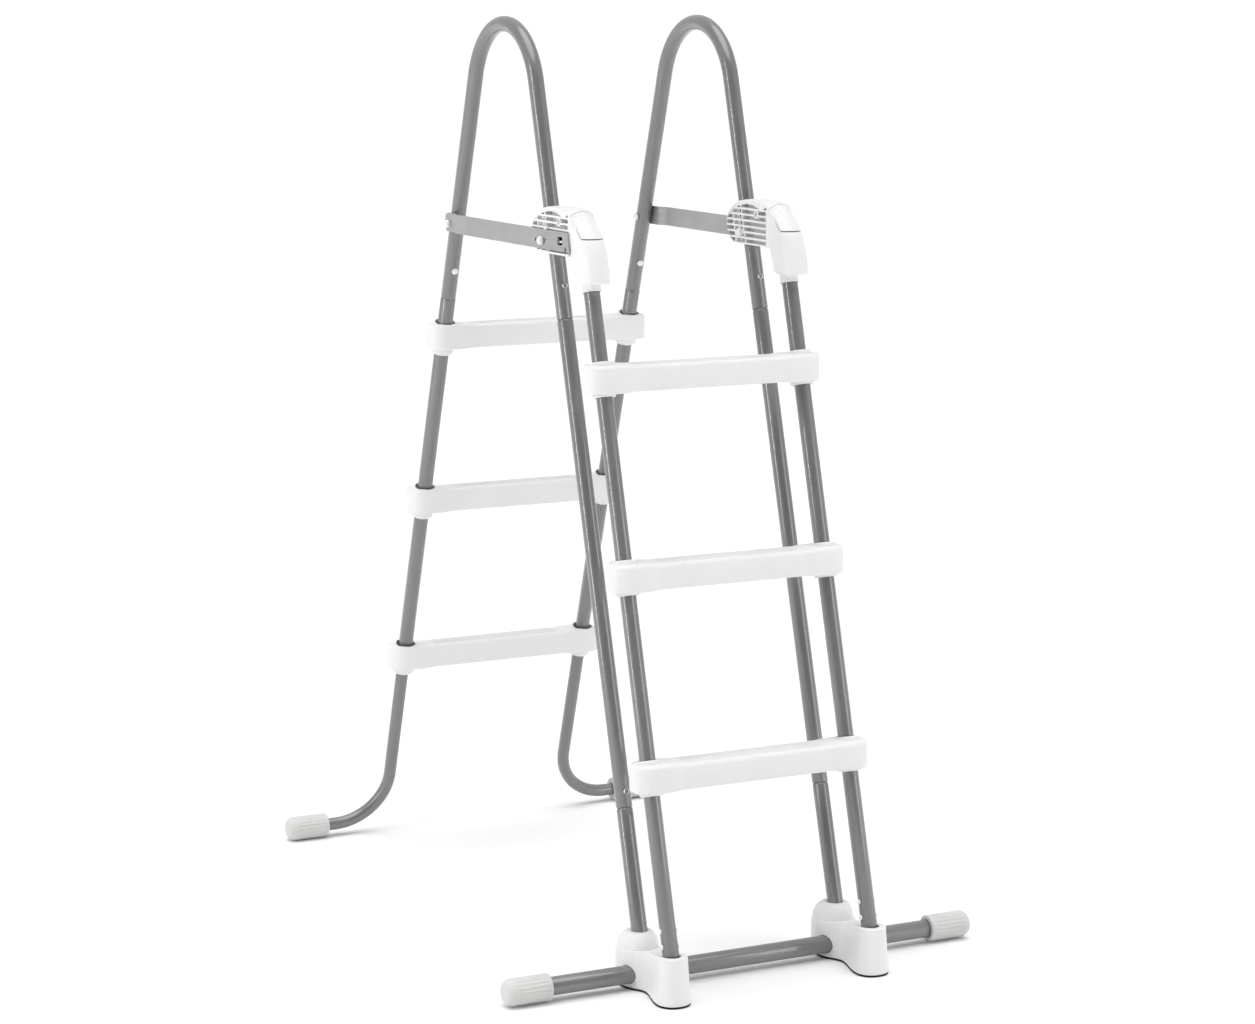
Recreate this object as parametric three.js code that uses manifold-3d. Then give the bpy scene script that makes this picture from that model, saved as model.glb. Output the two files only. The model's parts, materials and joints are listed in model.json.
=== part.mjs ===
// A-frame pool ladder with a removable outer step frame.
// Millimetres. +Z is up, X runs along the steps, -Y is the outer (ground) side and
// +Y is the pool side. The origin is on the floor, under the middle of the ladder.
import * as THREE from 'three';
import { mergeVertices } from 'three/addons/utils/BufferGeometryUtils.js';
import Module from 'manifold-3d';

const wasm = await Module();
wasm.setup();

// Driving dimensions
const TRACK = 173.5;          // from the middle of the ladder to each side frame
const TUBE_R = 12.7;
const WALL = 1.2;
const BAR_R = 14.3;
const FOOT_TUBE_R = 11;
const CAP_R = 21;
const GAP = 0.3;              // between pieces that touch
const BORE_GAP = 0.6;         // round a tube in its faceted bore
const SIDES = 12;             // facets round a tube
const ARC_STEPS = 3;          // facets of an outline's arc, doubled by three.js
const STEP_PITCH = 293.7;
const STEP_TOPS = { outer: 355.5, inner: 361.5 };   // top of the lowest step of each row
const STEP_HEIGHT = 43;
const STEP_DEPTH = 56;
const STEP_HALF_LENGTH = 203;
const BOW_R = 120.5;          // centreline radius of the handrail's bow
const HAND_JOINT = { outer: 1000, inner: 995 };
const LOW_JOINT = 267;
const SWAGE = 62;             // length of a tube end pushed into the next tube
const BAR_Z = 22.5;
const SHOE_BASE = 2.8;        // underside of the shoe, on its pad
const TILT_LIMIT = 5;         // degrees the step frame leans out of the shoes

// A leg is a straight line in a side plane: its y at the floor, and its y per z.
const line = (footY, slope) => ({
  y: (z) => footY + slope * z,
  at: (z, x = TRACK) => new THREE.Vector3(x, footY + slope * z, z),
  up: new THREE.Vector3(0, slope, 1).normalize(),
  front: new THREE.Vector3(0, -1, slope).normalize(),
});
const outerLeg = line(-475.5, 0.28);
const stepTube = line(-575.8, 0.272);
const innerLeg = line(574.6, -0.32);

const paint = { color: 0x8c8c8c, roughness: 0.32, metalness: 0.35 };
const white = { color: 0xefefed, roughness: 0.38, metalness: 0.0 };
const materials = {
  tube: () => new THREE.MeshStandardMaterial(paint),
  strap: () => new THREE.MeshStandardMaterial({ color: 0xa6a6a6, roughness: 0.4, metalness: 0.5 }),
  plastic: () => new THREE.MeshStandardMaterial(white),
  cap: () => new THREE.MeshStandardMaterial({ color: 0xd9d9d6, roughness: 0.55, metalness: 0.0 }),
  pad: () => new THREE.MeshStandardMaterial({ color: 0x1b1b1c, roughness: 0.85, metalness: 0.0 }),
  steel: () => new THREE.MeshStandardMaterial({ color: 0xc4c4c4, roughness: 0.28, metalness: 0.9 }),
};

const ladder = new THREE.Group();

// Solids and booleans

function solid(geometry) {
  const bare = geometry.clone();
  bare.deleteAttribute('normal');
  bare.deleteAttribute('uv');
  const merged = mergeVertices(bare, 1e-3);
  const corners = merged.index.array;
  const triVerts = [];
  for (let i = 0; i < corners.length; i += 3) {
    const [a, b, c] = [corners[i], corners[i + 1], corners[i + 2]];
    if (a !== b && b !== c && c !== a) triVerts.push(a, b, c);
  }
  return new wasm.Manifold(new wasm.Mesh({
    numProp: 3,
    vertProperties: Float32Array.from(merged.attributes.position.array),
    triVerts: Uint32Array.from(triVerts),
  }));
}

function geometryOf(body) {
  const { vertProperties, triVerts } = body.getMesh();
  const geometry = new THREE.BufferGeometry();
  geometry.setAttribute('position', new THREE.BufferAttribute(vertProperties, 3));
  geometry.setIndex(new THREE.BufferAttribute(triVerts, 1));
  return geometry;
}

// Three corners of its own for each triangle, so that its faces stay flat.
function facets(shape) {
  const geometry = shape.isBufferGeometry ? shape : geometryOf(shape);
  return geometry.index ? geometry.toNonIndexed() : geometry.clone();
}

const joined = (first, ...rest) => rest.reduce((sum, next) => sum.add(next), first);
const cut = (first, ...rest) => rest.reduce((left, next) => left.subtract(next), first);

function add(name, shape, material) {
  const geometry = facets(shape);
  geometry.computeVertexNormals();
  const mesh = new THREE.Mesh(geometry, material);
  mesh.name = name;
  ladder.add(mesh);
}

// A mirror image in the ladder's middle plane, with its triangles turned to face out.
function mirrored(shape) {
  const geometry = facets(shape);
  geometry.scale(-1, 1, 1);
  const { position } = geometry.attributes;
  const held = new THREE.Vector3();
  const other = new THREE.Vector3();
  for (let i = 0; i < position.count; i += 3) {
    held.fromBufferAttribute(position, i + 1);
    other.fromBufferAttribute(position, i + 2);
    position.setXYZ(i + 1, other.x, other.y, other.z);
    position.setXYZ(i + 2, held.x, held.y, held.z);
  }
  return geometry;
}

// Every side piece is built for the right side, at +TRACK, and mirrored for the left.
function addPair(name, shape, material) {
  add(`${name}_right`, shape, material());
  add(`${name}_left`, mirrored(shape), material());
}

// Basic shapes

// The turn that points a lathe's or cylinder's own axis, +Y, along a direction.
const turnTo = (direction) => new THREE.Quaternion().setFromUnitVectors(new THREE.Vector3(0, 1, 0), direction);

function rod(start, end, radius, endRadius = radius, sides = SIDES) {
  const axis = end.clone().sub(start);
  const geometry = new THREE.CylinderGeometry(endRadius, radius, axis.length(), sides);
  geometry.applyQuaternion(turnTo(axis.clone().normalize()));
  const middle = start.clone().add(end).multiplyScalar(0.5);
  geometry.translate(middle.x, middle.y, middle.z);
  return geometry;
}

const rodSolid = (...args) => solid(rod(...args));

// A pin along X, from the distance u0 outboard of the side plane to u1.
function crossPin(u0, u1, y, z, radius, sides = 12) {
  const ends = [u0, u1].map((u) => new THREE.Vector3(TRACK + u, y, z));
  return rodSolid(...ends, radius, radius, sides);
}

function box(lowest, highest) {
  const geometry = new THREE.BoxGeometry(...highest.map((value, i) => value - lowest[i]));
  geometry.translate(...highest.map((value, i) => (value + lowest[i]) / 2));
  return solid(geometry);
}

// An outline in the YZ plane, extruded outboard from u0 to u1, with rounded rims.
function sidePlate(outline, u0, u1, rim = 0) {
  const shape = new THREE.Shape(outline.map(([y, z]) => new THREE.Vector2(y, z)));
  const geometry = new THREE.ExtrudeGeometry(shape, {
    depth: u1 - u0 - 2 * rim,
    bevelEnabled: rim > 0,
    bevelSize: rim,
    bevelThickness: rim,
    bevelOffset: -rim,
    bevelSegments: 1,
  });
  // the outline's first axis becomes Y, its second becomes Z and the depth becomes X
  geometry.applyMatrix4(new THREE.Matrix4().makeBasis(
    new THREE.Vector3(0, 1, 0), new THREE.Vector3(0, 0, 1), new THREE.Vector3(1, 0, 0),
  ));
  geometry.translate(TRACK + u0 + rim, 0, 0);
  return solid(geometry);
}

// An outline in the XY plane, extruded upwards, with rounded rims. Points where two
// arcs meet are kept once.
function plan(shape, z0, z1, rim = 0, arcSteps = ARC_STEPS) {
  const points = shape.getPoints(arcSteps);
  const outline = points.filter((point, i) => point.distanceTo(points[(i + 1) % points.length]) > 1e-2);
  const geometry = new THREE.ExtrudeGeometry(new THREE.Shape(outline), {
    depth: z1 - z0 - 2 * rim,
    bevelEnabled: rim > 0,
    bevelSize: rim,
    bevelThickness: rim,
    bevelOffset: -rim,
    bevelSegments: 1,
  });
  geometry.translate(0, 0, z0 + rim);
  return solid(geometry);
}

const circle = (radius, sides = SIDES) => Array.from({ length: sides }, (_, i) => {
  const angle = (2 * Math.PI * i) / sides;
  return new THREE.Vector2(radius * Math.cos(angle), radius * Math.sin(angle));
});

// A path whose rings stand exactly at its stations: straight, one round bend, straight.
class BentPath extends THREE.Curve {
  constructor(start, corner, end, radius, bendSteps) {
    super();
    const into = corner.clone().sub(start).normalize();
    const out = end.clone().sub(corner).normalize();
    const turn = into.angleTo(out);
    const inward = out.clone().addScaledVector(into, -out.dot(into)).normalize();
    const reach = radius * Math.tan(turn / 2);
    const centre = corner.clone().addScaledVector(into, -reach).addScaledVector(inward, radius);
    this.stations = [{ point: start, tangent: into }];
    for (let i = 0; i <= bendSteps; i += 1) {
      const angle = (turn * i) / bendSteps;
      const point = centre.clone().addScaledVector(inward, -radius * Math.cos(angle))
        .addScaledVector(into, radius * Math.sin(angle));
      const tangent = into.clone().multiplyScalar(Math.cos(angle)).addScaledVector(inward, Math.sin(angle));
      this.stations.push({ point, tangent });
    }
    this.stations.push({ point: end, tangent: out });
  }

  station(t) { return this.stations[Math.round(t * (this.stations.length - 1))]; }

  getPoint(t) { return this.station(t).point.clone(); }

  getPointAt(t) { return this.getPoint(t); }

  getTangent(t) { return this.station(t).tangent.clone(); }

  getTangentAt(t) { return this.getTangent(t); }
}

function bentTube(path, radius, wall) {
  const shape = new THREE.Shape(circle(radius));
  shape.holes.push(new THREE.Path(circle(radius - wall)));
  return solid(new THREE.ExtrudeGeometry(shape, {
    steps: path.stations.length - 1,
    extrudePath: path,
  }));
}

// A straight tube on a leg line from z0 to z1; its top may be swaged to fit the next tube.
function straightTube(leg, z0, z1, swage = 0) {
  const start = leg.at(z0);
  const length = leg.at(z1).distanceTo(start);
  const inner = TUBE_R - WALL;
  const neck = inner - 0.5;
  const shoulder = swage > 0 ? 3 : 0;
  const outside = [[TUBE_R, 0], [TUBE_R, length - shoulder]];
  const inside = [[inner, length - 2 * shoulder], [inner, 0]];
  if (swage > 0) {
    outside.push([neck, length], [neck, length + swage]);
    inside.unshift([neck - WALL, length + swage], [neck - WALL, length - shoulder]);
  }
  const profile = [...outside, ...inside, outside[0]].map(([r, h]) => new THREE.Vector2(r, h));
  const geometry = new THREE.LatheGeometry(profile, SIDES);
  geometry.applyQuaternion(turnTo(leg.up));
  geometry.translate(start.x, start.y, start.z);
  return solid(geometry);
}

// Frame tubes

const JOINT_SCREW_RISE = 49;      // above the joint line
const SCREW_R = 2.4;

// A screw that goes into the front of a leg: its head rests on the tube.
function jointScrew(leg, z, { radius, height }) {
  const axis = leg.at(z);
  const seat = axis.clone().addScaledVector(leg.front, TUBE_R + GAP);
  const tip = seat.clone().addScaledVector(leg.front, -SCREW_DEPTH);
  const top = seat.clone().addScaledVector(leg.front, height);
  const head = rodSolid(seat, top, radius, radius * 0.72, 12);
  const root = seat.clone().addScaledVector(leg.front, height * 0.5);
  return joined(head, rodSolid(root, tip, SCREW_R, SCREW_R, 10));
}

function screwHole(leg, z) {
  const axis = leg.at(z);
  const outside = axis.clone().addScaledVector(leg.front, TUBE_R + 8);
  return rodSolid(axis, outside, SCREW_R + GAP, SCREW_R + GAP, 10);
}

const strapZ = { low: 1108, high: 1139 };
const boltZ = 1121;
const BOLT_R = 3.2;
const boltY = { outer: outerLeg.y(boltZ), inner: innerLeg.y(boltZ) };
const boltHole = (y, u0 = -30, u1 = 40) => crossPin(u0, u1, y, boltZ, BOLT_R + GAP);

// Where the lines of the outer and the inner leg would meet.
const slopeOf = (leg) => leg.y(1) - leg.y(0);
const apexZ = (innerLeg.y(0) - outerLeg.y(0)) / (slopeOf(outerLeg) - slopeOf(innerLeg));
const bow = new BentPath(
  outerLeg.at(HAND_JOINT.outer), outerLeg.at(apexZ), innerLeg.at(HAND_JOINT.inner), BOW_R, 8,
);
const outerScrewZ = HAND_JOINT.outer + JOINT_SCREW_RISE;
const innerScrewZ = HAND_JOINT.inner + JOINT_SCREW_RISE;
const lowScrewZ = LOW_JOINT + 23;
const LOW_SWAGE = 40;
const FLAT_SCREW = { radius: 4.6, height: 1.8 };
const DOME_SCREW = { radius: 5.4, height: 4.2 };
const SCREW_DEPTH = 10;

addPair('handrail', cut(
  bentTube(bow, TUBE_R, WALL),
  screwHole(outerLeg, outerScrewZ), screwHole(innerLeg, innerScrewZ),
  boltHole(boltY.outer), boltHole(boltY.inner),
), materials.tube);

addPair('outer_upper_leg', cut(
  straightTube(outerLeg, LOW_JOINT, HAND_JOINT.outer - GAP, SWAGE),
  screwHole(outerLeg, outerScrewZ), screwHole(outerLeg, lowScrewZ),
), materials.tube);

const LEG_END_Z = 41;
addPair('outer_lower_leg', cut(
  straightTube(outerLeg, LEG_END_Z, LOW_JOINT - GAP, LOW_SWAGE),
  screwHole(outerLeg, lowScrewZ),
), materials.tube);

const innerLegEnd = STEP_TOPS.inner - STEP_HEIGHT + 6;
addPair('inner_leg', cut(
  straightTube(innerLeg, innerLegEnd, HAND_JOINT.inner - GAP, SWAGE),
  screwHole(innerLeg, innerScrewZ),
), materials.tube);

addPair('joint_screw_outer', jointScrew(outerLeg, outerScrewZ, FLAT_SCREW), materials.steel);
addPair('joint_screw_low', jointScrew(outerLeg, lowScrewZ, FLAT_SCREW), materials.steel);
addPair('joint_screw_inner', jointScrew(innerLeg, innerScrewZ, DOME_SCREW), materials.plastic);

// The pool feet: each tube turns outwards at the floor and ends in a cap.

const FOOT_BEND_R = 95;
const CAP_LENGTH = 73;
const CAP_CAVITY = 52;
const footCapEnd = TRACK + 186.5;
const footCorner = innerLeg.at(CAP_R);
const footTop = innerLeg.at(STEP_TOPS.inner - 4);
const footEnd = footCorner.clone().setX(footCapEnd - CAP_LENGTH + CAP_CAVITY - 2);
addPair('foot_tube', bentTube(
  new BentPath(footTop, footCorner, footEnd, FOOT_BEND_R, 6), FOOT_TUBE_R, WALL,
), materials.tube);

// A cap on the X axis, with its closed, domed end at x = 0 and its mouth at -CAP_LENGTH.
function endCap(tubeRadius) {
  const cavity = tubeRadius + BORE_GAP;
  const profile = [
    [0, 0], [CAP_R - 6, 0], [CAP_R - 1.8, -2.6], [CAP_R, -8], [CAP_R, -CAP_LENGTH],
    [cavity, -CAP_LENGTH], [cavity, CAP_CAVITY - CAP_LENGTH], [0, CAP_CAVITY - CAP_LENGTH],
  ].reverse();
  const geometry = new THREE.LatheGeometry(profile.map(([r, along]) => new THREE.Vector2(r, along)), 20);
  geometry.rotateZ(-Math.PI / 2);
  return solid(geometry);
}

addPair('foot_cap', endCap(FOOT_TUBE_R).translate([footCapEnd, footCorner.y, footCorner.z]), materials.cap);

// The base: one bar through both shoes, with a cap on each end.

const barY = -465.5;
const barCapEnd = 408;
const barHalf = barCapEnd - CAP_LENGTH + CAP_CAVITY - 2;
const barShape = new THREE.Shape(circle(BAR_R));
barShape.holes.push(new THREE.Path(circle(BAR_R - WALL)));
const bar = new THREE.ExtrudeGeometry(barShape, { depth: 2 * barHalf, bevelEnabled: false });
bar.rotateY(Math.PI / 2);
bar.translate(-barHalf, barY, BAR_Z);
add('base_bar', bar, materials.tube());
addPair('base_cap', endCap(BAR_R).translate([barCapEnd, barY, BAR_Z]), materials.cap);

// Shoes. The plan is a heel round the leg and a toe round the step tube, with a waist.

const HEEL = { y: -457, r: 35 };
const TOE_R = 26.5;
const toeY = -(footCorner.y + CAP_R) + TOE_R;     // the toe and the pool feet end equally far out
const WAIST_R = 80;
const TOE_TOP = 72;
const HEEL_TOP = 58;
const TURRET_TOP = 88;

// Both waist arcs are tangent to the heel and the toe.
function shoeOutline(inset = 0) {
  const heelR = HEEL.r - inset;
  const toeR = TOE_R - inset;
  const waistR = WAIST_R + inset;
  const apart = HEEL.y - toeY;
  const toHeel = heelR + waistR;
  const toToe = toeR + waistR;
  const back = (toHeel ** 2 - toToe ** 2 + apart ** 2) / (2 * apart);
  const waistX = Math.sqrt(toHeel ** 2 - back ** 2);
  const waistY = HEEL.y - back;
  const heelAngle = Math.atan2(HEEL.y - waistY, waistX);
  const toeAngle = Math.atan2(waistY - toeY, waistX);
  const shape = new THREE.Shape();
  shape.absarc(TRACK, HEEL.y, heelR, -heelAngle, Math.PI + heelAngle, false);
  shape.absarc(TRACK - waistX, waistY, waistR, heelAngle, -toeAngle, true);
  shape.absarc(TRACK, toeY, toeR, Math.PI - toeAngle, 2 * Math.PI + toeAngle, false);
  shape.absarc(TRACK + waistX, waistY, waistR, Math.PI + toeAngle, Math.PI - heelAngle, true);
  shape.closePath();
  return shape;
}

// The foot plug's round tip is the centre that the step frame tilts about.
const tipZ = 28;
const TIP_R = 12.2;
const tilt = stepTube.at(tipZ);

function tilted(degrees) {
  const angle = THREE.MathUtils.degToRad(degrees);
  return stepTube.up.clone().applyAxisAngle(new THREE.Vector3(1, 0, 0), angle);
}

function pocket() {
  const pocketR = TUBE_R + 0.7;
  const swings = [0, TILT_LIMIT + 0.4].map((degrees) => {
    const along = tilted(degrees);
    const floor = tilt.clone().addScaledVector(along, -TIP_R - 0.8);
    return rodSolid(floor, tilt.clone().addScaledVector(along, 80), pocketR, pocketR, 18);
  });
  return joined(...swings);
}

function baseShoe() {
  const skirt = plan(shoeOutline(), SHOE_BASE, TOE_TOP + 3, 2.5);
  const roofSlope = (TOE_TOP - HEEL_TOP) / (HEEL.y - toeY);
  const roofAt = (y) => TOE_TOP - roofSlope * (y - toeY);
  const behind = HEEL.y + HEEL.r + 10;
  const ahead = toeY - TOE_R - 10;
  const aboveRoof = sidePlate([
    [ahead, roofAt(ahead)], [behind, roofAt(behind)], [behind, TURRET_TOP + 30], [ahead, TURRET_TOP + 30],
  ], -HEEL.r - 10, HEEL.r + 10);
  const turretFoot = outerLeg.at(40);
  const shoulder = outerLeg.at(TURRET_TOP - 7);
  const turret = joined(
    rodSolid(turretFoot, shoulder, 32, 28.5, 18),
    rodSolid(shoulder, outerLeg.at(TURRET_TOP), 28.5, 24, 18),
  );
  const legSocket = rodSolid(outerLeg.at(LEG_END_Z - GAP), outerLeg.at(TURRET_TOP + 20),
    TUBE_R + BORE_GAP);
  const barHole = rodSolid(
    new THREE.Vector3(TRACK - 60, barY, BAR_Z), new THREE.Vector3(TRACK + 60, barY, BAR_Z),
    BAR_R + BORE_GAP,
  );
  return cut(joined(cut(skirt, aboveRoof), turret), legSocket, barHole, pocket());
}

addPair('base_shoe', baseShoe(), materials.plastic);
addPair('shoe_pad', plan(shoeOutline(0.6), 0, SHOE_BASE - GAP), materials.pad);

// Steps. A step is a hollow tread, open below, with a sleeve round each tube.

const SLEEVE_R = 18.5;
const SKIN = 2.6;
const STEP_CORNER = 20;
const STEP_RIM = 3;
const RIB_HALF = 1.2;
const SOCKET_R = 16.6;
const SOCKET_DEPTH = 12;

function roundedPlan(halfLength, yBack, yFront, corner) {
  const shape = new THREE.Shape();
  const [x0, x1] = [-halfLength + corner, halfLength - corner];
  const [y0, y1] = [yFront + corner, yBack - corner];
  shape.absarc(x0, y0, corner, Math.PI, 1.5 * Math.PI, false);
  shape.absarc(x1, y0, corner, 1.5 * Math.PI, 2 * Math.PI, false);
  shape.absarc(x1, y1, corner, 0, 0.5 * Math.PI, false);
  shape.absarc(x0, y1, corner, 0.5 * Math.PI, Math.PI, false);
  shape.closePath();
  return shape;
}

// A tread held by two tubes of one row. An inner step has a recess round each tube in its top.
function step(leg, top, socketDepth = 0) {
  const bottom = top - STEP_HEIGHT;
  const middleY = leg.y(top - STEP_HEIGHT / 2);
  const [back, front] = [middleY + STEP_DEPTH / 2, middleY - STEP_DEPTH / 2];
  const shell = plan(roundedPlan(STEP_HALF_LENGTH, back, front, STEP_CORNER), bottom, top, STEP_RIM, 2);
  const hollow = plan(
    roundedPlan(STEP_HALF_LENGTH - SKIN, back - SKIN, front + SKIN, STEP_CORNER - SKIN),
    bottom - 5, top - SKIN - 0.4, 0, 2,
  );
  const ribs = [-0.5, 0, 0.5].map((place) => {
    const x = place * TRACK;
    return box([x - RIB_HALF, front + 1, bottom + 4], [x + RIB_HALF, back - 1, top - 1]);
  });
  let body = joined(cut(shell, hollow), ...ribs);
  for (const sideX of [-TRACK, TRACK]) {
    body = body.add(rodSolid(leg.at(bottom - 7, sideX), leg.at(top + 2, sideX), SLEEVE_R));
  }
  for (const sideX of [-TRACK, TRACK]) {
    body = body.subtract(rodSolid(leg.at(bottom - 40, sideX), leg.at(top + 40, sideX), TUBE_R + BORE_GAP));
    if (socketDepth > 0) {
      body = body.subtract(rodSolid(leg.at(top - socketDepth, sideX), leg.at(top + 40, sideX), SOCKET_R));
    }
  }
  return body;
}

for (let row = 0; row < 3; row += 1) {
  const rise = row * STEP_PITCH;
  add(`inner_step_${row + 1}`, step(innerLeg, STEP_TOPS.inner + rise, SOCKET_DEPTH), materials.plastic());
  add(`outer_step_${row + 1}`, step(stepTube, STEP_TOPS.outer + rise), materials.plastic());
}

// Straps between the rows of legs: flat bars outboard of the legs, joggled in at the pool side.

const STRAP_T = 3;
const strapU = 20.5;                       // inner face outboard of the side plane
const strapInnerU = TUBE_R + GAP + 0.2;    // the same at the inner leg
const strapFront = -260;
const strapBack = boltY.inner + 13;
const joggle = { start: boltY.inner - 46, end: boltY.inner - 28 };

const strapCutout = { inside: TRACK + 15, outside: TRACK + 40 };    // x that a cut through the strap spans
const strapWindow = { front: -233, back: -219, low: 1118.5, high: 1130.5 };
const strapNotch = { front: -249, back: -243, high: strapZ.low + 8 };
const slotReach = { front: -8, back: 22 };    // how far the bolt can slide in the strap

function strapCut(front, back, low, high) {
  return box([strapCutout.inside, front, low], [strapCutout.outside, back, high]);
}

function strap() {
  const nearFace = [
    [strapU, strapFront], [strapU, joggle.start], [strapInnerU, joggle.end], [strapInnerU, strapBack],
  ];
  const farFace = nearFace.map(([u, y]) => [u + STRAP_T, y]).reverse();
  const shape = new THREE.Shape([...nearFace, ...farFace].map(([u, y]) => new THREE.Vector2(TRACK + u, y)));
  const flat = plan(shape, strapZ.low, strapZ.high);
  const holeR = BOLT_R + GAP;
  const slot = joined(
    boltHole(boltY.outer + slotReach.front),
    boltHole(boltY.outer + slotReach.back),
    strapCut(boltY.outer + slotReach.front, boltY.outer + slotReach.back, boltZ - holeR, boltZ + holeR),
  );
  const window = strapCut(strapWindow.front, strapWindow.back, strapWindow.low, strapWindow.high);
  const notch = strapCut(strapNotch.front, strapNotch.back, strapZ.low - 5, strapNotch.high);
  return cut(flat, slot, boltHole(boltY.inner), window, notch);
}

addPair('strap', strap(), materials.strap);

const DOME = { radius: 6.9, flange: 1.8, height: 8.2 };
const NUT = { radius: 6.2, thickness: 3.4 };

// A domed bolt along X through a leg and its strap, with a flat nut on the inboard side.
function domeBolt(y, strapOuterU, inboardU) {
  const seat = strapOuterU + GAP;
  const nutFace = inboardU - GAP;
  const nutEnd = nutFace - NUT.thickness;
  const [rimEnd, top] = [DOME.flange - 0.1, DOME.height].map(
    (rise) => new THREE.Vector3(TRACK + seat + rise, y, boltZ),
  );
  return joined(
    crossPin(nutEnd, seat + 1, y, boltZ, BOLT_R, 12),
    crossPin(nutEnd, nutFace, y, boltZ, NUT.radius, 6),
    crossPin(seat, seat + DOME.flange, y, boltZ, DOME.radius, 12),
    rodSolid(rimEnd, top, DOME.radius, DOME.radius * 0.55, 12),
  );
}

const BRACKET_HALF = 20;
addPair('strap_bolt_outer', domeBolt(boltY.outer, strapU + STRAP_T, -BRACKET_HALF), materials.plastic);
addPair('strap_bolt_inner', domeBolt(boltY.inner, strapInnerU + STRAP_T, -TUBE_R), materials.plastic);

// Brackets: ribbed blocks on the outer legs that the step frame's heads close up to.

const bracketFace = { top: -257, bottom: -261 };
const bracketZ = { low: 1103, high: 1176 };
const bracketOutline = [
  [bracketFace.bottom + GAP, bracketZ.low], [-140, bracketZ.low], [-126, 1112], [-117, 1126], [-115, 1139],
  [-119, 1149], [-128, 1158], [-139, 1165.5], [-153, 1171], [-173, 1175], [-218, bracketZ.high],
  [bracketFace.top + GAP, bracketZ.high - 2],
];
const catchPin = { y: -215, z: 1153, r: 4 };
const CHANNEL_HALF = 7;
const ARM_CHANNEL = { low: 1122, high: 1163 };

// Rows of pockets between the ribs, in the part of each side that this outline takes.
const cellRows = { count: 7, height: 6.2, pitch: 9.3, bottom: 2.8 };
const cellWindow = [
  [-248, 1105], [-139, 1105], [-127, 1114], [-119.5, 1127], [-118, 1138], [-122, 1146], [-131, 1153],
  [-143, 1159], [-158, 1164], [-180, 1168], [-206, 1167.5], [-230, 1160], [-242, 1163], [-248, 1167],
];
const DEEP_CELL = 10.5;
const SHALLOW_CELL = 5;
const BOSS_R = { bolt: 8.5, catchPin: 7 };

function bracketCells() {
  const legHalf = TUBE_R + 4;
  const cells = [];
  for (let row = 0; row < cellRows.count; row += 1) {
    const low = bracketZ.low + cellRows.bottom + row * cellRows.pitch;
    const high = low + cellRows.height;
    const legY = outerLeg.y((low + high) / 2);
    // the columns ahead of and behind the leg are deep, and the one over the leg is shallow
    const columns = [
      [-248, legY - legHalf, DEEP_CELL],
      [legY - legHalf + 3, legY + legHalf - 3, SHALLOW_CELL],
      [legY + legHalf, -112, DEEP_CELL],
    ];
    for (const [front, back, depth] of columns) {
      const inner = BRACKET_HALF - depth;
      const outer = BRACKET_HALF + 1;
      cells.push(box([TRACK + inner, front, low], [TRACK + outer, back, high]));
      cells.push(box([TRACK - outer, front, low], [TRACK - inner, back, high]));
    }
  }
  const bosses = joined(
    crossPin(-30, 30, boltY.outer, boltZ, BOSS_R.bolt, 8),
    crossPin(-30, 30, catchPin.y, catchPin.z, BOSS_R.catchPin, 8),
  );
  return joined(...cells).intersect(sidePlate(cellWindow, -30, 30)).subtract(bosses);
}

function bracket() {
  const block = sidePlate(bracketOutline, -BRACKET_HALF, BRACKET_HALF, 2);
  const root = TRACK + BRACKET_HALF - 3;
  const overStrap = TRACK + 26;
  const lip = box([root, -259, bracketZ.low], [overStrap, -183, bracketZ.low + 3.2]);
  const strapTab = box([root, -181, strapZ.high + GAP], [overStrap, -173, strapZ.high + 5]);
  const legBore = rodSolid(outerLeg.at(1080), outerLeg.at(1200), TUBE_R + BORE_GAP);
  const channel = box(
    [TRACK - CHANNEL_HALF, -300, ARM_CHANNEL.low], [TRACK + CHANNEL_HALF, -190, ARM_CHANNEL.high],
  );
  return cut(
    joined(block, lip, strapTab), legBore, channel, boltHole(boltY.outer),
    crossPin(-30, 30, catchPin.y, catchPin.z, catchPin.r + GAP, 16), bracketCells(),
  );
}

addPair('bracket', bracket(), materials.plastic);
addPair('catch_pin', crossPin(-19, 19, catchPin.y, catchPin.z, catchPin.r, 16), materials.steel);

// Step frame: two tubes, three steps, a head on each tube and a plug in each foot.

const TUBE_TOP = 1092;
const TUBE_FOOT = 45;
const plugPinZ = [87, 110];
const PLUG_PIN_R = 2;
const plugPinHole = (z) => crossPin(-30, 30, stepTube.y(z), z, PLUG_PIN_R + GAP, 10);

addPair('step_tube', cut(
  straightTube(stepTube, TUBE_FOOT, TUBE_TOP), ...plugPinZ.map(plugPinHole),
), materials.tube);

function footPlug() {
  const tip = new THREE.SphereGeometry(TIP_R, 12, 6);
  tip.rotateX(Math.PI / 2);
  tip.translate(tilt.x, tilt.y, tilt.z);
  const plugR = TUBE_R - WALL - 0.5;
  const shank = rodSolid(stepTube.at(TUBE_FOOT - 2), stepTube.at(124), plugR);
  const collar = rodSolid(tilt, stepTube.at(TUBE_FOOT - GAP), TIP_R, TUBE_R - 0.2);
  return cut(joined(solid(tip), collar, shank), ...plugPinZ.map(plugPinHole));
}

addPair('foot_plug', footPlug(), materials.plastic);

function plugPin(z) {
  const y = stepTube.y(z);
  const heads = [-1, 1].map((side) => {
    const seat = new THREE.Vector3(TRACK + side * (TUBE_R + GAP), y, z);
    const top = new THREE.Vector3(TRACK + side * (TUBE_R + 3), y, z);
    return rodSolid(seat, top, 4, 2.6, 12);
  });
  return joined(crossPin(-TUBE_R - 2, TUBE_R + 2, y, z, PLUG_PIN_R, 10), ...heads);
}

addPair('plug_pin_low', plugPin(plugPinZ[0]), materials.plastic);
addPair('plug_pin_high', plugPin(plugPinZ[1]), materials.plastic);

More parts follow.
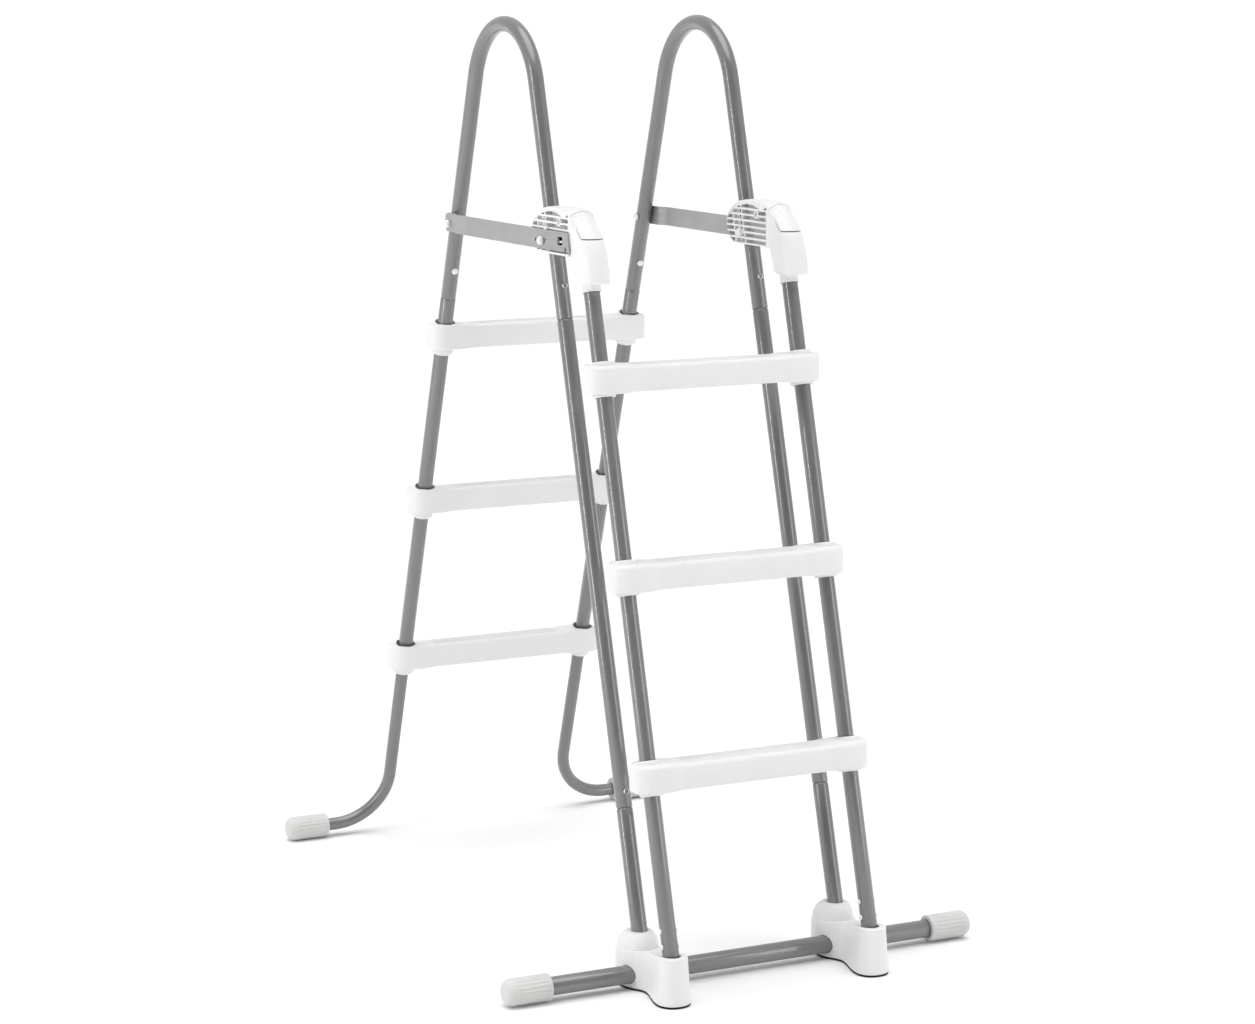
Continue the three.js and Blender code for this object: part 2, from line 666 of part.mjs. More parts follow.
// Heads. The outline is the outer skin; a latch cap takes its upper front corner.

const HEAD_HALF = 20.5;
const headBottom = 1064;
const headOutline = [
  [bracketFace.top, 1172], [bracketFace.bottom, 1103], [-271, 1078], [-274, headBottom + 3], [-278, headBottom],
  [-323, headBottom], [-327, headBottom + 5], [-325, 1078], [-320, 1095], [-314, 1112], [-308, 1124], [-301, 1134],
  [-292, 1143.5], [-282, 1152], [-272, 1159.5], [-264, 1165.5],
];
const pivot = { y: -269, z: 1159.2, r: 1.8 };
const HUB_R = 9;              // the cap's rear edge is round about its pivot
const hubEdge = [-110, -75, -40, -5, 30, 50].map((degrees) => {
  const angle = THREE.MathUtils.degToRad(degrees);
  return [Math.cos(angle), Math.sin(angle)];
});

// The part of the head's outline that the latch cap takes, grown by the seam's width.
function capRegion(seam = 0) {
  const reach = HUB_R + seam;
  const hub = hubEdge.map(([y, z]) => [pivot.y + reach * y, pivot.z + reach * z]);
  const hubTop = hub[hub.length - 1];
  return [
    [-340, 1131.5 - seam], [-292 + seam, 1132.5 - seam], [-279 + seam, 1144 - seam], ...hub,
    [hubTop[0], 1200], [-340, 1200],
  ];
}

function latch() {
  const cap = sidePlate(headOutline, -HEAD_HALF, HEAD_HALF, 3).intersect(sidePlate(capRegion(), -40, 40));
  const arm = sidePlate([
    [-276, 1152], [-267, 1139.5], [-213, 1139.5], [-209, 1142], [-209, 1148.2], [-256, 1148.2], [-261, 1152],
    [-262, 1158], [-271, 1158],
  ], -CHANNEL_HALF + 1.5, CHANNEL_HALF - 1.5);
  return cut(joined(cap, arm), crossPin(-40, 40, pivot.y, pivot.z, pivot.r + GAP, 12));
}

function head() {
  const skin = sidePlate(headOutline, -HEAD_HALF, HEAD_HALF, 3);
  const capSpace = sidePlate(capRegion(0.5), -40, 40);
  const armSpace = box([TRACK - CHANNEL_HALF, -285, 1134], [TRACK + CHANNEL_HALF, -240, ARM_CHANNEL.high]);
  const tubeBore = rodSolid(stepTube.at(1000), stepTube.at(TUBE_TOP + GAP), TUBE_R + BORE_GAP);
  const core = rodSolid(stepTube.at(1080), stepTube.at(1122), 7, 7, 10);
  return cut(skin, capSpace, armSpace, tubeBore, core);
}

addPair('latch', latch(), materials.plastic);
addPair('head', head(), materials.plastic);

const LATCH_PIN_HALF = 9;
addPair('latch_pin', crossPin(
  -LATCH_PIN_HALF, LATCH_PIN_HALF, pivot.y, pivot.z, pivot.r, 12,
), materials.steel);

const COLLAR_R = 14.6;
addPair('head_collar', cut(
  rodSolid(stepTube.at(1050), stepTube.at(headBottom - 4.5), COLLAR_R, COLLAR_R, 16),
  rodSolid(stepTube.at(1030), stepTube.at(1090), TUBE_R + BORE_GAP),
), materials.plastic);

export default ladder;
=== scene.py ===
"""Looks for the pool ladder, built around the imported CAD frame.

Shapes are made in millimetres, in the same frame as the CAD, and stored in metres. Side pieces are made
for the right side, at +TRACK, and mirrored for the left.
"""
import json
import math

import bpy
from mathutils import Matrix, Vector


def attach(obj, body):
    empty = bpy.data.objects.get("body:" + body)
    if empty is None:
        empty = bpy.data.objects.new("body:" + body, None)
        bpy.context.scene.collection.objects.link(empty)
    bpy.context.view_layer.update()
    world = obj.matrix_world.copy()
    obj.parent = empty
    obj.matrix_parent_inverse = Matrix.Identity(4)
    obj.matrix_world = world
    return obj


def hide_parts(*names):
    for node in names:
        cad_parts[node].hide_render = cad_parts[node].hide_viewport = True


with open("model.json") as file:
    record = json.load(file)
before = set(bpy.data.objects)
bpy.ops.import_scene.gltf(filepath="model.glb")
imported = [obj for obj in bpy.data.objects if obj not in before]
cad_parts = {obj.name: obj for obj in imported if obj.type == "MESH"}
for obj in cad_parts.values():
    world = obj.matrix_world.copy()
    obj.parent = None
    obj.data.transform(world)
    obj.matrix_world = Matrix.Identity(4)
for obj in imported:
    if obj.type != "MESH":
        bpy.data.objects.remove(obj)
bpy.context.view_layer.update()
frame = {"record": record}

MM = 0.001

# Driving dimensions, in millimetres, as in the CAD
TRACK = 173.5
TUBE_R = 12.7
WALL = 1.2
BAR_R = 14.3
FOOT_TUBE_R = 11.0
CAP_R = 21.0
GAP = 0.3
BORE_GAP = 0.6
STEP_PITCH = 293.7
STEP_TOPS = {"outer": 355.5, "inner": 361.5}
STEP_HEIGHT = 43.0
STEP_DEPTH = 56.0
STEP_HALF_LENGTH = 203.0
BOW_R = 120.5
HAND_JOINT = {"outer": 1000.0, "inner": 995.0}
LOW_JOINT = 267.0
LEG_FOOT = 41.0  # height of the outer leg's end, inside its shoe
INNER_LEG_REACH = 6.0  # how far the inner leg goes into the lowest inner step
SWAGE = 62.0
LOW_SWAGE = 40.0
BAR_Y = -465.5
BAR_Z = 22.5
SHOE_BASE = 2.8
TUBE_SIDES = 48

RECORD = frame["record"]
BODY_OF = {node: body for body, nodes in RECORD["behaviour"]["bodies"].items() for node in nodes}
SLOT_OF = {part["node"]: part["material_slot"] for part in RECORD["subparts"]}


# ---- meshes

SMOOTH_ANGLE = 38.0  # edges sharper than this stay sharp, in degrees


def mesh_object(name, points, faces):
    """A closed mesh object from points in millimetres."""
    mesh = bpy.data.meshes.new(name)
    mesh.from_pydata([Vector(p) * MM for p in points], [], faces)
    mesh.validate()
    piece = bpy.data.objects.new(name, mesh)
    bpy.context.scene.collection.objects.link(piece)
    soften(piece)
    return piece


def soften(piece):
    """Smooth shading, but for sharp edges."""
    for polygon in piece.data.polygons:
        polygon.use_smooth = True
    piece.data.set_sharp_from_angle(angle=math.radians(SMOOTH_ANGLE))


def loft(name, rings, ends=True, around=False):
    """Skins rings with the same number of points. around joins the last ring to the first."""
    count = len(rings[0])
    points = [p for ring in rings for p in ring]
    faces = []
    for r in range(len(rings) if around else len(rings) - 1):
        low, high = r * count, (r + 1) % len(rings) * count
        for i in range(count):
            j = (i + 1) % count
            faces.append((low + i, low + j, high + j, high + i))
    if ends and not around:
        faces.append(tuple(range(count - 1, -1, -1)))
        faces.append(tuple(range((len(rings) - 1) * count, len(rings) * count)))
    return mesh_object(name, points, faces)


def drop(piece):
    """Removes the piece and its mesh."""
    mesh = piece.data
    bpy.data.objects.remove(piece)
    bpy.data.meshes.remove(mesh)


def bake_modifiers(piece):
    """Puts the result of the piece's modifiers into its mesh."""
    bpy.context.view_layer.update()
    ready = piece.evaluated_get(bpy.context.evaluated_depsgraph_get())
    mesh = bpy.data.meshes.new_from_object(ready)
    old = piece.data
    piece.modifiers.clear()
    piece.data = mesh
    bpy.data.meshes.remove(old)


def boolean(piece, operation, others):
    """Changes the piece by the others, which are used up."""
    for other in others:
        modifier = piece.modifiers.new("boolean", "BOOLEAN")
        modifier.operation = operation
        modifier.solver = "MANIFOLD"
        modifier.object = other
        bake_modifiers(piece)
        drop(other)
    soften(piece)
    return piece


def cut(piece, *others):
    return boolean(piece, "DIFFERENCE", others)


def join(piece, *others):
    return boolean(piece, "UNION", others)


def keep(piece, *others):
    return boolean(piece, "INTERSECT", others)


def round_edges(piece, width, angle=50.0, segments=2):
    """Rounds the edges that are sharper than the angle."""
    bevel = piece.modifiers.new("bevel", "BEVEL")
    bevel.width = width * MM
    bevel.segments = segments
    bevel.limit_method = "ANGLE"
    bevel.angle_limit = math.radians(angle)
    bevel.use_clamp_overlap = True
    bake_modifiers(piece)
    soften(piece)
    return piece


# ---- paths and tubes

class Line:
    """A leg: a straight line in a side plane, by its y at the floor and its y per z."""

    def __init__(self, foot_y, slope):
        self.foot_y, self.slope = foot_y, slope
        self.up = Vector((0, slope, 1)).normalized()
        self.front = Vector((0, -1, slope)).normalized()

    def y(self, z):
        return self.foot_y + self.slope * z

    def point(self, z, x=TRACK):
        return Vector((x, self.y(z), z))


OUTER_LEG = Line(-475.5, 0.28)
STEP_TUBE = Line(-575.8, 0.272)
INNER_LEG = Line(574.6, -0.32)


class Straight:
    """A straight path, by arc length."""

    def __init__(self, start, end):
        self.start = Vector(start)
        self.length = (Vector(end) - self.start).length
        self.along = (Vector(end) - self.start).normalized()
        self.side = self.along.orthogonal().normalized()
        self.other = self.along.cross(self.side)

    def station(self, s):
        return self.start + self.along * s, self.side, self.other

    def marks(self):
        return [0.0, self.length]


class Bent:
    """Straight, one round bend, straight, by arc length."""

    def __init__(self, start, corner, end, radius, bend_steps=40):
        start, corner, end = Vector(start), Vector(corner), Vector(end)
        self.into = (corner - start).normalized()
        self.out = (end - corner).normalized()
        self.turn = self.into.angle(self.out)
        self.radius, self.bend_steps = radius, bend_steps
        self.inward = (self.out - self.into * self.out.dot(self.into)).normalized()
        self.across = self.into.cross(self.inward)
        self.start = start
        setback = radius * math.tan(self.turn / 2)
        self.bend_start = (corner - start).length - setback
        self.bend_length = radius * self.turn
        self.length = self.bend_start + self.bend_length + (end - corner).length - setback

    def station(self, s):
        angle = min(max((s - self.bend_start) / self.radius, 0.0), self.turn)
        cosine, sine = math.cos(angle), math.sin(angle)
        centre = self.start + self.into * self.bend_start + self.inward * self.radius
        point = centre - self.inward * self.radius * cosine + self.into * self.radius * sine
        along = self.into * cosine + self.inward * sine
        point += along * (min(s - self.bend_start, 0.0) + max(s - self.bend_start - self.bend_length, 0.0))
        return point, self.across.cross(along), self.across

    def marks(self):
        bend = [self.bend_start + self.bend_length * i / self.bend_steps for i in range(self.bend_steps + 1)]
        return [0.0, *bend, self.length]


def turned(name, path, profile, sides=TUBE_SIDES, closed=True, shape=None):
    """A skin round a path: profile is [(distance, radius)]. A closed profile is a wall with an inside and an
    outside; an open one ends on the axis. shape(distance, angle) is added to the radius."""
    rings = []
    for s, radius in profile:
        point, side, other = path.station(s)
        ring = []
        for i in range(sides):
            angle = 2 * math.pi * i / sides
            r = radius + (shape(s, angle) if shape else 0.0)
            ring.append(point + side * (r * math.cos(angle)) + other * (r * math.sin(angle)))
        rings.append(ring)
    return loft(name, rings, ends=not closed, around=closed)


EDGE = 0.5  # rounding of a cut tube end
NECK_PLAY = 0.5  # between a neck and the tube it goes into
NECK_TAPER = 3.0  # length over which the outside narrows to the neck
END_ZONE = 8.0  # no bend is marked this close to a tube's far end


def tube(name, path, radius, neck=0.0):
    """A thin tube with softened ends; neck is the length of a narrower end that goes into the next tube."""
    inner = radius - WALL
    marks = [s for s in path.marks() if 2 * EDGE < s < path.length - END_ZONE]
    outside = [(0.0, radius - EDGE), (0.15 * EDGE, radius - 0.3 * EDGE), (EDGE, radius)]
    outside += [(s, radius) for s in marks]
    if neck:
        narrow = inner - NECK_PLAY
        end = path.length + neck
        outside += [(path.length - NECK_TAPER, radius), (path.length - 2.2, radius - 0.25),
                    (path.length, narrow), (end - 1, narrow), (end, narrow - 0.4)]
        inside = [(end, narrow - WALL), (path.length - 1, narrow - WALL),
                  (path.length - 2 * NECK_TAPER, inner)]
    else:
        outside += [(path.length - EDGE, radius), (path.length - 0.15 * EDGE, radius - 0.3 * EDGE),
                    (path.length, radius - EDGE)]
        inside = [(path.length, inner)]
    inside += [(s, inner) for s in reversed(marks)] + [(0.0, inner)]
    return turned(name, path, outside + inside)


def rod(name, start, end, radius):
    path = Straight(start, end)
    return turned(name, path, [(0.0, radius), (path.length, radius)], closed=False)


def pin(name, u0, u1, y, z, radius, chamfer=0.0):
    """A round bar along X, from u0 to u1 outboard of the side plane."""
    path = Straight((TRACK + u0, y, z), (TRACK + u1, y, z))
    profile = [(0.0, radius - chamfer), (chamfer, radius), (path.length - chamfer, radius),
               (path.length, radius - chamfer)]
    if not chamfer:
        profile = [profile[0], profile[-1]]
    return turned(name, path, profile, closed=False)


AXIS_R = 0.05  # a closed end's profile stops this close to its axis


def quarter(steps):
    """Angles from 0 to 90 degrees, both included."""
    return [0.5 * math.pi * i / steps for i in range(steps + 1)]


def dome(base, height, radius, steps=8):
    """The profile of a dome on a plane at base, without its rim."""
    return [(base + height * math.sin(a), radius * math.cos(a) + AXIS_R) for a in quarter(steps)[1:]]


def block(name, lowest, highest):
    x0, y0, z0 = lowest
    x1, y1, z1 = highest
    low = [(x0, y0, z0), (x1, y0, z0), (x1, y1, z0), (x0, y1, z0)]
    return loft(name, [low, [(x, y, z1) for x, y, _ in low]])


# ---- plates with rounded rims

RIM_STEPS = 5


def inset(outline, distance, shares=None):
    """The outline moved inwards, each point by its share of the distance; it runs anticlockwise."""
    result = []
    count = len(outline)
    for i in range(count):
        before, here, after = (Vector(outline[(i + k) % count]) for k in (-1, 0, 1))
        first = (here - before).normalized()
        second = (after - here).normalized()
        normal = Vector((-first.y, first.x)) + Vector((-second.y, second.x))
        normal.normalize()
        stretch = 1 / max(0.5, normal.dot(Vector((-first.y, first.x))))
        result.append(here + normal * distance * stretch * (shares[i] if shares else 1.0))
    return result


def anticlockwise(outline):
    area = sum(a[0] * b[1] - b[0] * a[1] for a, b in zip(outline, outline[1:] + outline[:1]))
    return list(outline) if area > 0 else list(reversed(outline))


def rounded_corners(outline, radius, steps=5):
    """Each corner replaced by a smooth arc, limited by the edges beside it."""
    result = []
    count = len(outline)
    for i in range(count):
        before, here, after = (Vector(outline[(i + k) % count]) for k in (-1, 0, 1))
        reach = min(radius, 0.45 * (here - before).length, 0.45 * (after - here).length)
        start = here + (before - here).normalized() * reach
        end = here + (after - here).normalized() * reach
        for k in range(steps + 1):
            t = k / steps
            result.append(start * (1 - t) ** 2 + here * (2 * t * (1 - t)) + end * t ** 2)
    return result


def layered(name, outline, low, high, rim, put, spans=1, share=None):
    """A plate with quarter-round rims, in spans across its middle. put(p, depth) gives the point in space,
    and share(p) how much of the rim's rounding a point of the outline takes."""
    outline = anticlockwise([tuple(p) for p in outline])
    layers = []
    if rim:
        for angle in quarter(RIM_STEPS):
            layers.append((rim * (1 - math.sin(angle)), low + rim * (1 - math.cos(angle))))
        far = [(back, low + high - depth) for back, depth in reversed(layers)]
        start, end = low + rim, high - rim
        layers += [(0.0, start + (end - start) * i / spans) for i in range(1, spans)] + far
    else:
        layers = [(0.0, low), (0.0, high)]
    shares = [share(p) if share else 1.0 for p in outline]
    rings = [[put(p, depth) for p in inset(outline, back, shares)] for back, depth in layers]
    return loft(name, rings)


def side_plate(name, outline, u0, u1, rim=0.0, corner=0.0, **options):
    """A YZ outline, extruded along X from u0 to u1 outboard of the side plane."""
    outline = anticlockwise(outline)
    if corner:
        outline = rounded_corners(outline, corner)
    return layered(name, outline, u0, u1, rim, lambda p, u: (TRACK + u, p[0], p[1]), **options)


def floor_plate(name, outline, z0, z1, rim):
    """An XY outline, extruded upwards."""
    return layered(name, outline, z0, z1, rim, lambda p, z: (p[0], p[1], z))


# ---- materials

def set_inputs(node, **values):
    """Sets a node's inputs by name, with _ for a space."""
    for name, value in values.items():
        node.inputs[name.replace("_", " ")].default_value = value


class Nodes:
    """A short way to write a node tree for one material."""

    def __init__(self, name):
        self.material = bpy.data.materials.new(name)
        self.material.use_nodes = True
        self.tree = self.material.node_tree
        self.shader = self.tree.nodes["Principled BSDF"]
        self.position = self.new("ShaderNodeTexCoord").outputs["Object"]

    def new(self, kind, **settings):
        node = self.tree.nodes.new(kind)
        for key, value in settings.items():
            setattr(node, key, value)
        return node

    def link(self, source, target):
        self.tree.links.new(source, target)

    def stretched(self, scale):
        mapping = self.new("ShaderNodeMapping")
        set_inputs(mapping, Scale=scale)
        self.link(self.position, mapping.inputs["Vector"])
        return mapping.outputs["Vector"]

    def noise(self, scale, detail=4.0, roughness=0.55, stretch=(1, 1, 1)):
        noise = self.new("ShaderNodeTexNoise")
        self.link(self.stretched(stretch), noise.inputs["Vector"])
        set_inputs(noise, Scale=scale, Detail=detail, Roughness=roughness)
        return noise.outputs["Fac"]

    def speckle(self, scale):
        cells = self.new("ShaderNodeTexVoronoi")
        cells.feature = "SMOOTH_F1"
        self.link(self.position, cells.inputs["Vector"])
        set_inputs(cells, Scale=scale)
        return cells.outputs["Distance"]

    def ramp(self, source, low, high, colours):
        ramp = self.new("ShaderNodeValToRGB")
        self.link(source, ramp.inputs["Fac"])
        for stop, position, value in zip(ramp.color_ramp.elements, (low, high), colours):
            stop.position = position
            stop.color = (*(value if isinstance(value, tuple) else (value,) * 3), 1.0)
        return ramp.outputs["Color"]

    def level(self, source, low, high):
        """From low to high as the source goes from 0.3 to 0.7."""
        spread = self.new("ShaderNodeMapRange")
        self.link(source, spread.inputs["Value"])
        set_inputs(spread, From_Min=0.3, From_Max=0.7, To_Min=low, To_Max=high)
        return spread.outputs["Result"]

    def blend(self, amount, first, second, how="MIX"):
        mix = self.new("ShaderNodeMix", data_type="RGBA", blend_type=how)
        set_inputs(mix, Factor=amount)
        self.link(first, mix.inputs["A"])
        self.link(second, mix.inputs["B"])
        return mix.outputs["Result"]

    def bump(self, height, strength, distance, under=None):
        bump = self.new("ShaderNodeBump")
        set_inputs(bump, Strength=strength, Distance=distance)
        self.link(height, bump.inputs["Height"])
        if under is not None:
            self.link(under, bump.inputs["Normal"])
        return bump.outputs["Normal"]

    def finish(self, colour, roughness, normal, **constants):
        self.link(colour, self.shader.inputs["Base Color"])
        self.link(roughness, self.shader.inputs["Roughness"])
        self.link(normal, self.shader.inputs["Normal"])
        set_inputs(self.shader, **constants)
        return self.material


def painted_tube(name):
    """Grey textured powder coat, with an orange-peel surface, and streaks along the tube that are painted
    highlights in the colour and also vary the roughness.
    """
    n = Nodes(name)
    peel = n.noise(620.0, 3.0, 0.5)
    mottle = n.noise(34.0, 5.0, 0.6, stretch=(1, 1, 0.35))
    sheen_streaks = n.noise(210.0, 4.0, 0.7, stretch=(1, 1, 0.04))
    base = n.ramp(mottle, 0.32, 0.7, (0.165, 0.195))
    grain = n.ramp(n.speckle(900.0), 0.1, 0.75, (0.145, 0.225))
    # painted highlight: bright streaks along the tube, added to the paint colour
    painted_sheen = n.ramp(sheen_streaks, 0.62, 0.82, (0.0, 0.12))
    colour = n.blend(0.4, base, grain)
    colour = n.blend(0.5, colour, painted_sheen, "ADD")
    normal = n.bump(peel, 0.22, 0.00025)
    return n.finish(colour, n.level(sheen_streaks, 0.30, 0.44), normal, Metallic=0.25, Coat_Weight=1.0,
                    Coat_Roughness=0.10)


def sheet_metal(name):
    """Grey painted flat bar, with brush marks along its length."""
    n = Nodes(name)
    brush = n.noise(420.0, 5.0, 0.65, stretch=(1, 0.03, 1))
    cloud = n.noise(22.0, 4.0, 0.6)
    base = n.ramp(cloud, 0.3, 0.7, (0.33, 0.40))
    colour = n.blend(0.35, base, n.ramp(brush, 0.35, 0.65, (0.30, 0.44)))
    normal = n.bump(n.noise(700.0, 3.0), 0.12, 0.0002, n.bump(brush, 0.12, 0.00012))
    return n.finish(colour, n.level(brush, 0.33, 0.48), normal, Metallic=0.35)


def moulded(name, light, dark, rough, grain_scale=1500.0, grain=0.10, coat=0.0):
    """Moulded plastic: a fine spark-eroded grain, slow flow marks and a few dull scuffs."""
    n = Nodes(name)
    flow = n.noise(9.0, 5.0, 0.6, stretch=(1, 1, 1.6))
    spark = n.noise(grain_scale, 4.0, 0.6)
    scuffs = n.noise(130.0, 6.0, 0.75, stretch=(0.25, 1, 1))
    colour = n.ramp(flow, 0.3, 0.72, (dark, light))
    marks = n.ramp(scuffs, 0.60, 0.78, (1.0, 0.93))
    colour = n.blend(1.0, colour, marks, "MULTIPLY")
    normal = n.bump(spark, grain, 0.00012, n.bump(flow, 0.06, 0.0012))
    return n.finish(colour, n.level(scuffs, rough - 0.06, rough + 0.10), normal, Coat_Weight=coat,
                    Coat_Roughness=0.15)


def rubber(name):
    """Dark rubber with fine pores and dust."""
    n = Nodes(name)
    pores = n.noise(1300.0, 5.0, 0.7)
    dust = n.noise(60.0, 5.0, 0.7)
    colour = n.ramp(dust, 0.45, 0.8, (0.012, 0.045))
    return n.finish(colour, n.level(dust, 0.7, 0.92), n.bump(pores, 0.4, 0.0003), Specular_IOR_Level=0.35)


def plated_steel(name):
    """Bright plating with turning marks."""
    n = Nodes(name)
    turn = n.noise(900.0, 4.0, 0.6, stretch=(0.1, 1, 1))
    bloom = n.noise(160.0, 4.0, 0.6)
    colour = n.blend(0.3, n.ramp(bloom, 0.3, 0.7, (0.52, 0.70)), n.ramp(turn, 0.3, 0.7, (0.45, 0.75)))
    return n.finish(colour, n.level(bloom, 0.20, 0.38), n.bump(turn, 0.15, 0.0001), Metallic=0.95)


MATERIALS = {
    "tube": painted_tube("tube_paint"),
    "strap": sheet_metal("strap_metal"),
    "white": moulded("white_plastic", (0.822, 0.822, 0.817), (0.792, 0.792, 0.785), 0.42),
    "white_fastener": moulded("gloss_white_plastic", (0.85, 0.85, 0.845), (0.81, 0.81, 0.80), 0.22,
                              grain=0.03, coat=0.4),
    "cap": moulded("cap_plastic", (0.66, 0.66, 0.65), (0.58, 0.58, 0.57), 0.55, grain_scale=1100.0,
                   grain=0.2),
    "pad": rubber("pad_rubber"),
    "steel": plated_steel("plated_steel"),
}


# ---- putting pieces on the frame

def place(piece, node):
    """The piece stands for a CAD node: it takes the node's body, slot and finish."""
    piece.name = f"{node}.skin"
    piece.data.name = piece.name
    piece.data.materials.clear()
    piece.data.materials.append(MATERIALS[SLOT_OF[node]])
    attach(piece, BODY_OF[node])
    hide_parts(node)


def place_pair(piece, node):
    """The piece on the right, and its mirror image on the left."""
    mesh = piece.data.copy()
    mesh.transform(Matrix.Scale(-1, 4, (1, 0, 0)))
    mesh.flip_normals()
    twin = bpy.data.objects.new(node, mesh)
    bpy.context.scene.collection.objects.link(twin)
    place(piece, f"{node}_right")
    place(twin, f"{node}_left")


# ---- tubes

def leg_path(leg, z0, z1):
    return Straight(leg.point(z0), leg.point(z1))


apex_z = (INNER_LEG.foot_y - OUTER_LEG.foot_y) / (OUTER_LEG.slope - INNER_LEG.slope)
bow = Bent(OUTER_LEG.point(HAND_JOINT["outer"]), OUTER_LEG.point(apex_z),
           INNER_LEG.point(HAND_JOINT["inner"]), BOW_R)
place_pair(tube("handrail", bow, TUBE_R), "handrail")
upper_path = leg_path(OUTER_LEG, LOW_JOINT, HAND_JOINT["outer"] - GAP)
place_pair(tube("upper", upper_path, TUBE_R, SWAGE), "outer_upper_leg")
lower_path = leg_path(OUTER_LEG, LEG_FOOT, LOW_JOINT - GAP)
place_pair(tube("lower", lower_path, TUBE_R, LOW_SWAGE), "outer_lower_leg")
inner_leg_end = STEP_TOPS["inner"] - STEP_HEIGHT + INNER_LEG_REACH
inner_path = leg_path(INNER_LEG, inner_leg_end, HAND_JOINT["inner"] - GAP)
place_pair(tube("inner", inner_path, TUBE_R, SWAGE), "inner_leg")

CAP_LENGTH = 73.0
CAP_CAVITY = 52.0
CAP_END_PLAY = 2.0  # between a tube's end and the bottom of its cap
FOOT_CAP_END = TRACK + 186.5
FOOT_BEND_R = 95.0
FOOT_TOP_BELOW_STEP = 4.0
foot_corner = INNER_LEG.point(CAP_R)
foot_end = Vector((FOOT_CAP_END - CAP_LENGTH + CAP_CAVITY - CAP_END_PLAY, foot_corner.y, foot_corner.z))
foot_start = INNER_LEG.point(STEP_TOPS["inner"] - FOOT_TOP_BELOW_STEP)
foot_path = Bent(foot_start, foot_corner, foot_end, FOOT_BEND_R, 32)
place_pair(tube("foot", foot_path, FOOT_TUBE_R), "foot_tube")

BAR_CAP_END = 408.0
bar_half = BAR_CAP_END - CAP_LENGTH + CAP_CAVITY - CAP_END_PLAY
place(tube("bar", Straight((-bar_half, BAR_Y, BAR_Z), (bar_half, BAR_Y, BAR_Z)), BAR_R), "base_bar")

STEP_TUBE_FOOT = 45.0
STEP_TUBE_TOP = 1092.0
place_pair(tube("step_tube", leg_path(STEP_TUBE, STEP_TUBE_FOOT, STEP_TUBE_TOP), TUBE_R), "step_tube")


# ---- fluted end caps

FLUTES = 20
FLUTE_DEPTH = 0.95
FLUTE_FADE = {"mouth": 1.6, "dome": 5.0}
MOUTH_RING = 4.5
CAP_DOME_START = CAP_LENGTH - 11.0


def end_cap(bore, end_x, y, z):
    """A cap along X, closed at end_x: flutes run from its domed end to a plain ring at its mouth."""
    mouth_x = end_x - CAP_LENGTH
    path = Straight((mouth_x, y, z), (end_x, y, z))
    flute_start = MOUTH_RING + FLUTE_FADE["mouth"]

    def flute(s, angle):
        at_mouth = min(1.0, max(0.0, (s - MOUTH_RING) / FLUTE_FADE["mouth"]))
        at_dome = min(1.0, max(0.0, (CAP_DOME_START - s) / FLUTE_FADE["dome"]))
        wave = 0.5 - 0.5 * math.cos(FLUTES * angle)
        return -FLUTE_DEPTH * at_mouth * at_dome * wave ** 0.8

    profile = [(0.0, AXIS_R), (0.0, CAP_R - 1.2), (0.35, CAP_R - 0.5), (1.2, CAP_R - 0.15),
               (MOUTH_RING, CAP_R - 0.15), (MOUTH_RING + 0.8, CAP_R), (flute_start, CAP_R)]
    for i in range(1, 13):
        profile.append((flute_start + (CAP_DOME_START - flute_start) * i / 12, CAP_R))
    for angle in quarter(9)[1:]:
        profile.append((CAP_DOME_START + (CAP_LENGTH - CAP_DOME_START) * math.sin(angle) ** 1.25,
                        CAP_R * (0.62 + 0.38 * math.cos(angle))))
    profile += [(CAP_LENGTH, CAP_R * 0.30), (CAP_LENGTH, AXIS_R)]
    shell = turned("cap", path, profile, 8 * FLUTES, closed=False, shape=flute)
    return cut(shell, rod("well", (mouth_x - 5, y, z), (mouth_x + CAP_CAVITY, y, z), bore))


place_pair(end_cap(FOOT_TUBE_R + BORE_GAP, FOOT_CAP_END, foot_corner.y, foot_corner.z), "foot_cap")
place_pair(end_cap(BAR_R + BORE_GAP, BAR_CAP_END, BAR_Y, BAR_Z), "base_cap")


# ---- steps

def smooth_step(t):
    t = min(1.0, max(0.0, t))
    return t * t * (3 - 2 * t)


BOSS_LENGTH = 54.0  # how far in from its end a step is full height
BOSS_FADE = 24.0
TREAD_DROP = 1.4  # the tread between the bosses lies this much lower
TREAD_IN = 1.6  # and its faces this much further in
BOTTOM_RISE = 1.5  # and its lower edge this much higher
END_CORNER = 25.0
END_EDGE = {"top": 5.0, "bottom": 2.5}
SECTION_CORNER = {"top": 7.0, "bottom": 2.0, "hollow": 3.0}
CORNER_STEPS = 5
SKIN = 2.6
HOLLOW_BELOW = 5.0  # how far the cutter of the hollow reaches under the step


